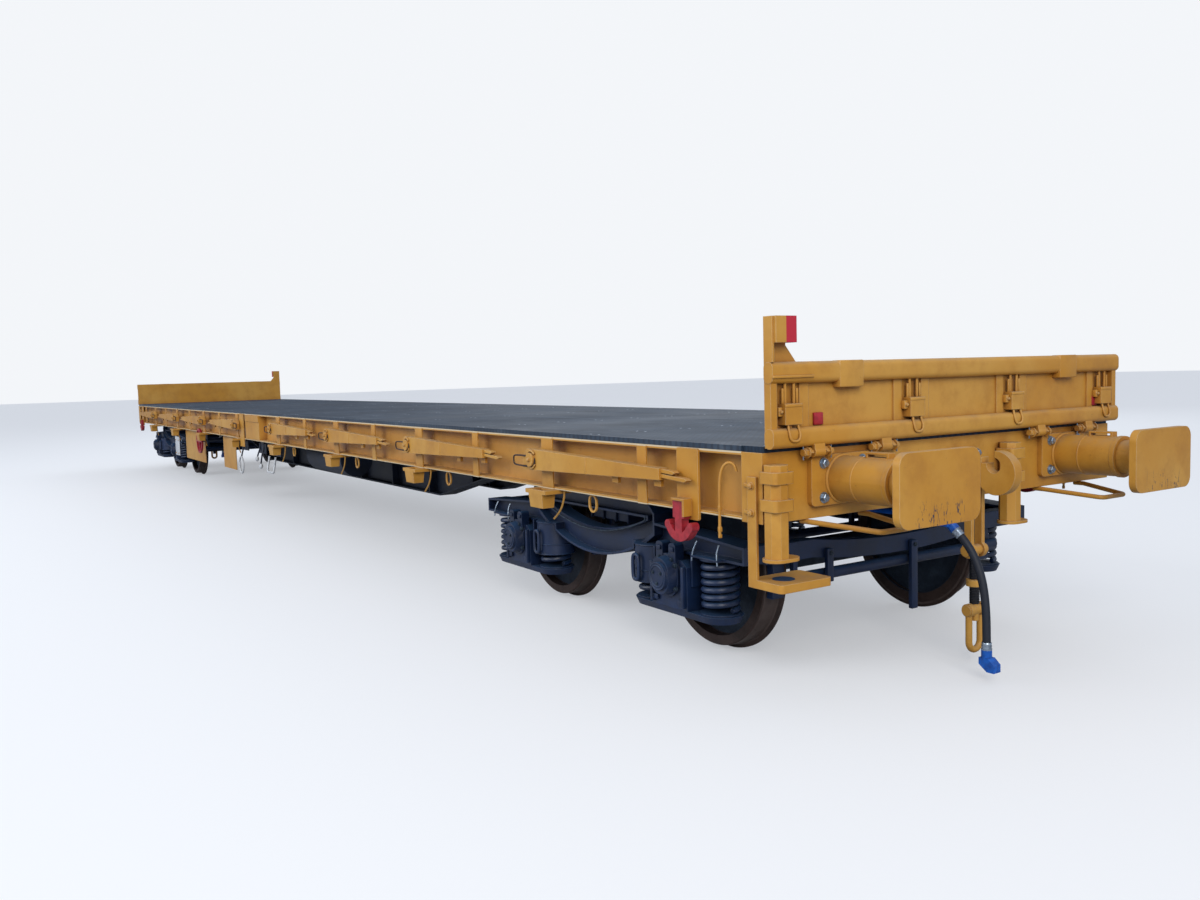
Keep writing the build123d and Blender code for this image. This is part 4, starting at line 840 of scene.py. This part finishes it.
# Hooked rods that hang in the sill beside each headstock
hookRod = {
    "route": (
        (9.112, -1.402, 1.140), (9.108, -1.408, 1.172), (9.082, -1.418, 1.188), (9.045, -1.428, 1.172),
        (9.026, -1.436, 1.125), (9.028, -1.444, 1.050), (9.030, -1.446, 0.960), (9.029, -1.446, 0.880),
        (9.028, -1.446, 0.815),
    ),
    "rod": 0.0075, "clipX": 9.029, "clipY": -1.4445,
    "clips": (  # height, size
        (0.955, (0.0154, 0.018, 0.0242)), (0.850, (0.0168, 0.018, 0.0264)), (0.815, (0.0126, 0.018, 0.0198)),
    ),
}


def hookRods():
    routes = [[(end * x, side * y, z) for x, y, z in hookRod["route"]] for end, side in fourCorners]
    rodPiece("hookRods", routes, hookRod["rod"], "wagon", "yellow_paint")
    shape = bmesh.new()
    for z, size in hookRod["clips"]:
        block(shape, (hookRod["clipX"], hookRod["clipY"], z), size, edge=0.003)
    atFourCorners("hookRodClips", shape, "yellow_paint")


stakeRods()
stakeBands()
socketStraps()
hookRods()
print("sides fitted")

# Bogies: ribs, bolts and round caps on the axle boxes. Distances along the wagon are
# from the axle, and y is from the wagon's middle.
axleBox = {
    "places": (6.53, 8.33), "z": 0.488, "capY": 1.262, "cap": ((0, 0.074, 0.099, 0.078, 48),),
    "rings": ((1.336, 0.060, 0.0045), (1.334, 0.0765, 0.0040)),  # y, radius, thickness
    "ribs": (  # along, y, z, size
        (0.145, 1.260, 0.435, (0.022, 0.030, 0.235)), (0.120, 1.256, 0.345, (0.052, 0.020, 0.030)),
        (0.060, 1.276, 0.642, (0.040, 0.012, 0.026)),
    ),
    "bolts": (  # along, y, z, size
        (0.087, 1.268, 0.554, 0.0125), (0.087, 1.268, 0.422, 0.0125), (0.060, 1.2725, 0.585, 0.010),
    ),
    "capBolts": (30, 150, 270), "capBoltCircle": 0.040, "capBoltY": 1.335, "capBoltSize": 0.0085,
}


def axleBoxFittings(cast, bolts, across, way):
    for axle in axleBox["places"]:
        for side in (-1, 1):
            for along, y, z, size in axleBox["ribs"]:
                block(cast, (axle + side * along, across * y, z), size, edge=0.004)
            for along, y, z, size in axleBox["bolts"]:
                bolt(bolts, (axle + side * along, across * y, z), way, size)
        spot = Matrix.Translation((axle, across * axleBox["capY"], axleBox["z"])) @ toward[way]
        cones(cast, spot, axleBox["cap"])
        for y, radius, thickness in axleBox["rings"]:
            ring(cast, Vector((axle, across * y, axleBox["z"])), way, radius, thickness, steps=36)
        for degrees in axleBox["capBolts"]:
            angle = math.radians(degrees)
            x = axle + axleBox["capBoltCircle"] * math.cos(angle)
            z = axleBox["z"] + axleBox["capBoltCircle"] * math.sin(angle)
            bolt(bolts, (x, across * axleBox["capBoltY"], z), way, axleBox["capBoltSize"])


# Spring hoods: bands, an oval damper link outside each, and hanging links with a seat
# plate over the outer springs. Distances along are from the bogie's pivot.
hood = {
    "pivot": 7.43, "along": 0.6, "outer": 1.2, "y": 1.12,
    "bands": ((0.403, 0.133), (0.470, 0.131), (0.620, 0.127)), "band": 0.005,  # height, radius
    "seatZ": 0.618, "seatSize": (0.235, 0.235, 0.012),
    "links": (-0.095, 0.095), "linkRod": 0.0045,
    "link": (  # spread, y, z
        (1.00, 1.205, 0.700), (1.02, 1.222, 0.672), (1.12, 1.232, 0.630), (1.16, 1.232, 0.592),
    ),
    "oval": (-0.030, 0.030, 0.415, 0.565, 0.012, 0.025), "ovalY": 1.271, "ovalRod": 0.0115,
}


def hoodFittings(cast, across, links, ovals):
    oval = roundedLoop(*hood["oval"])
    for side in (-1, 1):
        hoodX = hood["pivot"] + side * hood["along"]
        for z, radius in hood["bands"]:
            ring(cast, Vector((hoodX, across * hood["y"], z)), "+Z", radius, hood["band"], steps=40)
        ovals.append([(hoodX + x, across * hood["ovalY"], z) for x, z in oval])
        outer = hood["pivot"] + side * hood["outer"]
        block(cast, (outer, across * hood["y"], hood["seatZ"]), hood["seatSize"], edge=0.004)
        for shift in hood["links"]:
            links.append([(outer + shift * spread, across * y, z) for spread, y, z in hood["link"]])


# Side frames: a lip round the window, in a lighter finish as a painted highlight, ribs behind it and a wear
# plate on top, and guard bars on the outer end member
sideFrame = {
    "window": (0.600, 0.640, 0.757, 0.785), "lipY": 1.196, "lipRod": 0.0055,  # half width, sag, foot, head
    "ribs": (-0.215, -0.075, 0.075, 0.215), "ribY": 1.052, "ribZ": 0.735, "ribSize": (0.014, 0.016, 0.106),
    "plateY": 1.120, "plateZ": 0.877, "plateSize": (0.52, 0.12, 0.020),
    "barX": 8.930, "barDepth": 0.030, "barBoltX": 8.944, "barBoltDown": 0.025, "barBoltSize": 0.011,
    "bars": ((0.100, 0.200, 0.610, 0.050), (-0.590, 0.454, 0.640, 0.044)),  # y, foot, head, width
}


def windowLip():
    half, sag, foot, head = sideFrame["window"]
    left = [(-half, head), (-half, (head + foot) / 2), (-half, foot)]
    shares = [number / 6 - 1 for number in range(1, 12)]
    arc = [(half * share, sag + (foot - sag) * share ** 2) for share in shares]
    return left + arc + [(-x, z) for x, z in reversed(left)]


def sideFrameFittings(cast, across, highlightedLips):
    pivot = hood["pivot"]
    highlightedLips.append([(pivot + x, across * sideFrame["lipY"], z) for x, z in windowLip()])
    for x in sideFrame["ribs"]:
        block(cast, (pivot + x, across * sideFrame["ribY"], sideFrame["ribZ"]), sideFrame["ribSize"])
    plate = (pivot, across * sideFrame["plateY"], sideFrame["plateZ"])
    block(cast, plate, sideFrame["plateSize"], edge=0.004)


def bogieFittings():
    cast = bmesh.new()
    bolts = bmesh.new()
    links, ovals, highlightedLips = [], [], []
    for across, way in ((-1, "-Y"), (1, "+Y")):
        axleBoxFittings(cast, bolts, across, way)
        hoodFittings(cast, across, links, ovals)
        sideFrameFittings(cast, across, highlightedLips)
    for y, foot, head, width in sideFrame["bars"]:
        size = (sideFrame["barDepth"], width, head - foot)
        block(cast, (sideFrame["barX"], y, (foot + head) / 2), size, edge=0.005)
        centre = (sideFrame["barBoltX"], y, head - sideFrame["barBoltDown"])
        bolt(bolts, centre, "+X", sideFrame["barBoltSize"])
    atBothEnds("bogieCastings", cast, "bogie_{end}", "running_gear")
    atBothEnds("bogieBolts", bolts, "bogie_{end}", "running_gear", darkBoltAndLipHighlight)
    for end, turn in turns.items():
        body = f"bogie_{end}"
        rodPiece(f"damperLinks_{end}", turned(links, turn), hood["linkRod"], body, "wheel_steel", boltSteel)
        rodPiece(
            f"damperOvals_{end}", turned(ovals, turn), hood["ovalRod"], body, "running_gear", closed=True
        )
        # The window lips take the lighter bolt finish as a painted highlight
        rodPiece(
            f"windowLipHighlights_{end}", turned(highlightedLips, turn), sideFrame["lipRod"], body, "running_gear", darkBoltAndLipHighlight
        )


bogieFittings()
print("bogies fitted")

# Deck: countersunk screws along the boards' edges
deck = {
    "top": 1.273, "boards": 12, "length": 18.66, "edge": 0.045, "rows": 9, "halfWidth": 1.37,
    "screw": ((-0.001, 0.0018, 0.009, 0.0081, 8),),
}


def deckScrews():
    shape = bmesh.new()
    pitch = deck["length"] / deck["boards"]
    for number in range(deck["boards"]):
        middle = (number - (deck["boards"] - 1) / 2) * pitch
        for side in (-1, 1):
            for row in range(deck["rows"]):
                y = (row / (deck["rows"] - 1) - 0.5) * 2 * deck["halfWidth"]
                centre = (middle + side * (pitch / 2 - deck["edge"]), y, deck["top"])
                cones(shape, Matrix.Translation(centre), deck["screw"])
    newPiece("deckScrews", shape, "wagon", "wheel_steel", boltSteel)


deckScrews()
print("deck screwed down")

# Below the sills, on one side of each half: a blank sign plate on two hangers
sign = {
    "x": -5.55, "y": -1.395, "z": 0.60, "size": (0.36, 0.006, 0.32),
    "hangers": (-0.12, 0.12), "hangerY": -1.387, "hangerZ": 0.755, "hangerSize": (0.030, 0.008, 0.330),
    "bolts": (0.700, 0.480), "boltY": -1.398, "boltSize": 0.009,
}


def signPlates():
    plate = bmesh.new()
    block(plate, (sign["x"], sign["y"], sign["z"]), sign["size"], edge=0.0025)
    hangers = bmesh.new()
    for along in sign["hangers"]:
        block(hangers, (sign["x"] + along, sign["hangerY"], sign["hangerZ"]), sign["hangerSize"])
        for z in sign["bolts"]:
            bolt(hangers, (sign["x"] + along, sign["boltY"], z), "-Y", sign["boltSize"])
    atBothEnds("signPlates", plate, "wagon", "yellow_paint", signWhite)
    atBothEnds("signHangers", hangers, "wagon", "yellow_paint")


# Change-over gear beside it: plates, rods with white knobs and a ring, and a loop handle
changeOver = {
    "rods": ((-1.18, 0.655), (-0.36, 0.675), (-0.185, 0.595)), "rod": 0.010,  # x, foot
    "rodPath": ((0, -1.30, 0.905), (0, -1.31, 0.80), (0.01, -1.34, 0.74)), "rodFoot": (0.02, -1.362),
    "knobs": ((-0.34, -1.362, 0.668), (-0.165, -1.362, 0.584)), "knob": 0.034, "knobFlat": 0.7,
    "ring": (-1.16, -1.368, 0.540), "ringRadius": 0.108, "ringRod": 0.011,
    "plates": (-1.17, -0.27, 0.405), "plateY": -1.30,
    "plateSizes": ((0.80, (0.34, 0.012, 0.13), 0.004), (0.885, (0.12, 0.016, 0.075), 0.003)),  # z, size, edge
    "loop": (  # half of the handle: out from its middle, y, z
        (0.140, -1.36, 0.735), (0.143, -1.375, 0.65), (0.143, -1.39, 0.575), (0.133, -1.392, 0.552),
        (0.105, -1.392, 0.545),
    ),
    "loopX": 0.405, "loopRod": 0.012,
}


def changeOverRods():
    routes = []
    footX, footY = changeOver["rodFoot"]
    for x, foot in changeOver["rods"]:
        path = [(x + along, y, z) for along, y, z in changeOver["rodPath"]]
        routes.append([*path, (x + footX, footY, foot)])
    left = [(changeOver["loopX"] - out, y, z) for out, y, z in changeOver["loop"]]
    right = [(changeOver["loopX"] + out, y, z) for out, y, z in reversed(changeOver["loop"])]
    for end, turn in turns.items():
        rodPiece(f"changeOverRods_{end}", turned(routes, turn), changeOver["rod"], "wagon", "black_frame")
        loop = turned([left + right], turn)
        rodPiece(f"loopHandles_{end}", loop, changeOver["loopRod"], "wagon", "yellow_paint", signWhite)


def changeOvers():
    grips = bmesh.new()
    for knob in changeOver["knobs"]:
        middle = Matrix.Translation(knob)
        ball = bmesh.ops.create_uvsphere(
            grips, u_segments=20, v_segments=12, radius=changeOver["knob"], matrix=middle
        )
        flat = (1, changeOver["knobFlat"], 1)
        bmesh.ops.scale(grips, vec=flat, space=middle.inverted(), verts=ball["verts"])
    ring(grips, Vector(changeOver["ring"]), "-Y", changeOver["ringRadius"], changeOver["ringRod"], steps=40)
    plates = bmesh.new()
    for x in changeOver["plates"]:
        for z, size, edge in changeOver["plateSizes"]:
            block(plates, (x, changeOver["plateY"], z), size, edge)
    atBothEnds("changeOverPlates", plates, "wagon", "black_frame")
    atBothEnds("changeOverGrips", grips, "wagon", "yellow_paint", signWhite)


signPlates()
changeOvers()
changeOverRods()
print("underside fitted")

# Floor, backdrop, light and camera. The floor's glow is seen by the camera alone.
stageLook = {
    "floor": (0.50, 0.51, 0.52), "glow": (0.38, 0.39, 0.41), "bounce": (0.22, 0.24, 0.28), "size": 120.0,
    "sky": (0.80, 0.87, 1.0), "skyPower": 0.62, "backdrop": (0.90, 0.92, 0.95),
}
lights = {  # place, aim, size in metres, watts, colour
    "keyLight": ((22.0, -9.0, 9.0), (5.0, 0.0, 0.8), (9.0, 9.0), 1800.0, (1.0, 0.95, 0.88)),
    "sideLight": ((-1.0, -16.0, 9.0), (-1.0, 0.0, 0.8), (18.0, 7.0), 1450.0, (0.95, 0.97, 1.0)),
    "backLight": ((-14.0, 16.0, 12.0), (-3.0, 0.0, 0.8), (18.0, 9.0), 1300.0, (0.92, 0.96, 1.0)),
}
view = {"place": (12.891, -4.621, 1.640), "yaw": 32.70, "pitch": 4.356, "roll": 1.597, "lens": 30.2}


def stageFloor():
    plain = Finish("stageFloor")
    shape = bmesh.new()
    bmesh.ops.create_grid(shape, x_segments=1, y_segments=1, size=stageLook["size"])
    mesh = bpy.data.meshes.new("floor")
    shape.to_mesh(mesh)
    shape.free()
    floor = bpy.data.objects.new("floor", mesh)
    bpy.context.scene.collection.objects.link(floor)
    rays = ("Is Camera Ray", "Is Glossy Ray", "Is Transmission Ray")
    camera, glossy, through = [plain.add("ShaderNodeLightPath", {}, {}, ray) for ray in rays]
    seen = (camera + glossy + through).math("MINIMUM", 1.0)
    mesh.materials.append(plain.out(plain.mix(seen, stageLook["bounce"], stageLook["floor"]), 0.9))
    plain.feed(plain.shader.inputs["Emission Color"], plain.mix(camera, (0, 0, 0), stageLook["glow"]))
    plain.shader.inputs["Emission Strength"].default_value = 1.0


def areaLight(name, place, aim, size, power, colour):
    lamp = bpy.data.lights.new(name, "AREA")
    lamp.shape = "RECTANGLE"
    lamp.size, lamp.size_y = size
    lamp.energy = power
    lamp.color = colour
    light = bpy.data.objects.new(name, lamp)
    bpy.context.scene.collection.objects.link(light)
    light.location = place
    light.rotation_euler = (Vector(aim) - Vector(place)).to_track_quat("-Z", "Y").to_euler()


def paleWorld():
    world = bpy.data.worlds.new("world")
    bpy.context.scene.world = world
    world.use_nodes = True
    tree = world.node_tree
    sky = tree.nodes["Background"]
    sky.inputs["Color"].default_value = (*stageLook["sky"], 1.0)
    sky.inputs["Strength"].default_value = stageLook["skyPower"]
    seen = tree.nodes.new("ShaderNodeBackground")
    seen.inputs["Color"].default_value = (*stageLook["backdrop"], 1.0)
    ways = tree.nodes.new("ShaderNodeLightPath")
    blend = tree.nodes.new("ShaderNodeMixShader")
    tree.links.new(ways.outputs["Is Camera Ray"], blend.inputs[0])
    tree.links.new(sky.outputs[0], blend.inputs[1])
    tree.links.new(seen.outputs[0], blend.inputs[2])
    tree.links.new(blend.outputs[0], tree.nodes["World Output"].inputs["Surface"])


def setCamera():
    lens = bpy.data.cameras.new("camera")
    lens.lens = view["lens"]
    lens.sensor_width = 36.0
    lens.clip_end = 300.0
    camera = bpy.data.objects.new("camera", lens)
    bpy.context.scene.collection.objects.link(camera)
    yaw, pitch = math.radians(view["yaw"]), math.radians(view["pitch"])
    level = Vector((-math.cos(yaw), math.sin(yaw), 0))
    ahead = level * math.cos(pitch) - Vector((0, 0, math.sin(pitch)))
    roll = Quaternion((0, 0, 1), -math.radians(view["roll"]))
    camera.location = view["place"]
    camera.rotation_euler = (ahead.to_track_quat("-Z", "Y") @ roll).to_euler()
    bpy.context.scene.camera = camera


stageFloor()
paleWorld()
for lightName, facts in lights.items():
    areaLight(lightName, *facts)
setCamera()
bpy.context.scene.view_settings.view_transform = "Standard"
print("stage set")
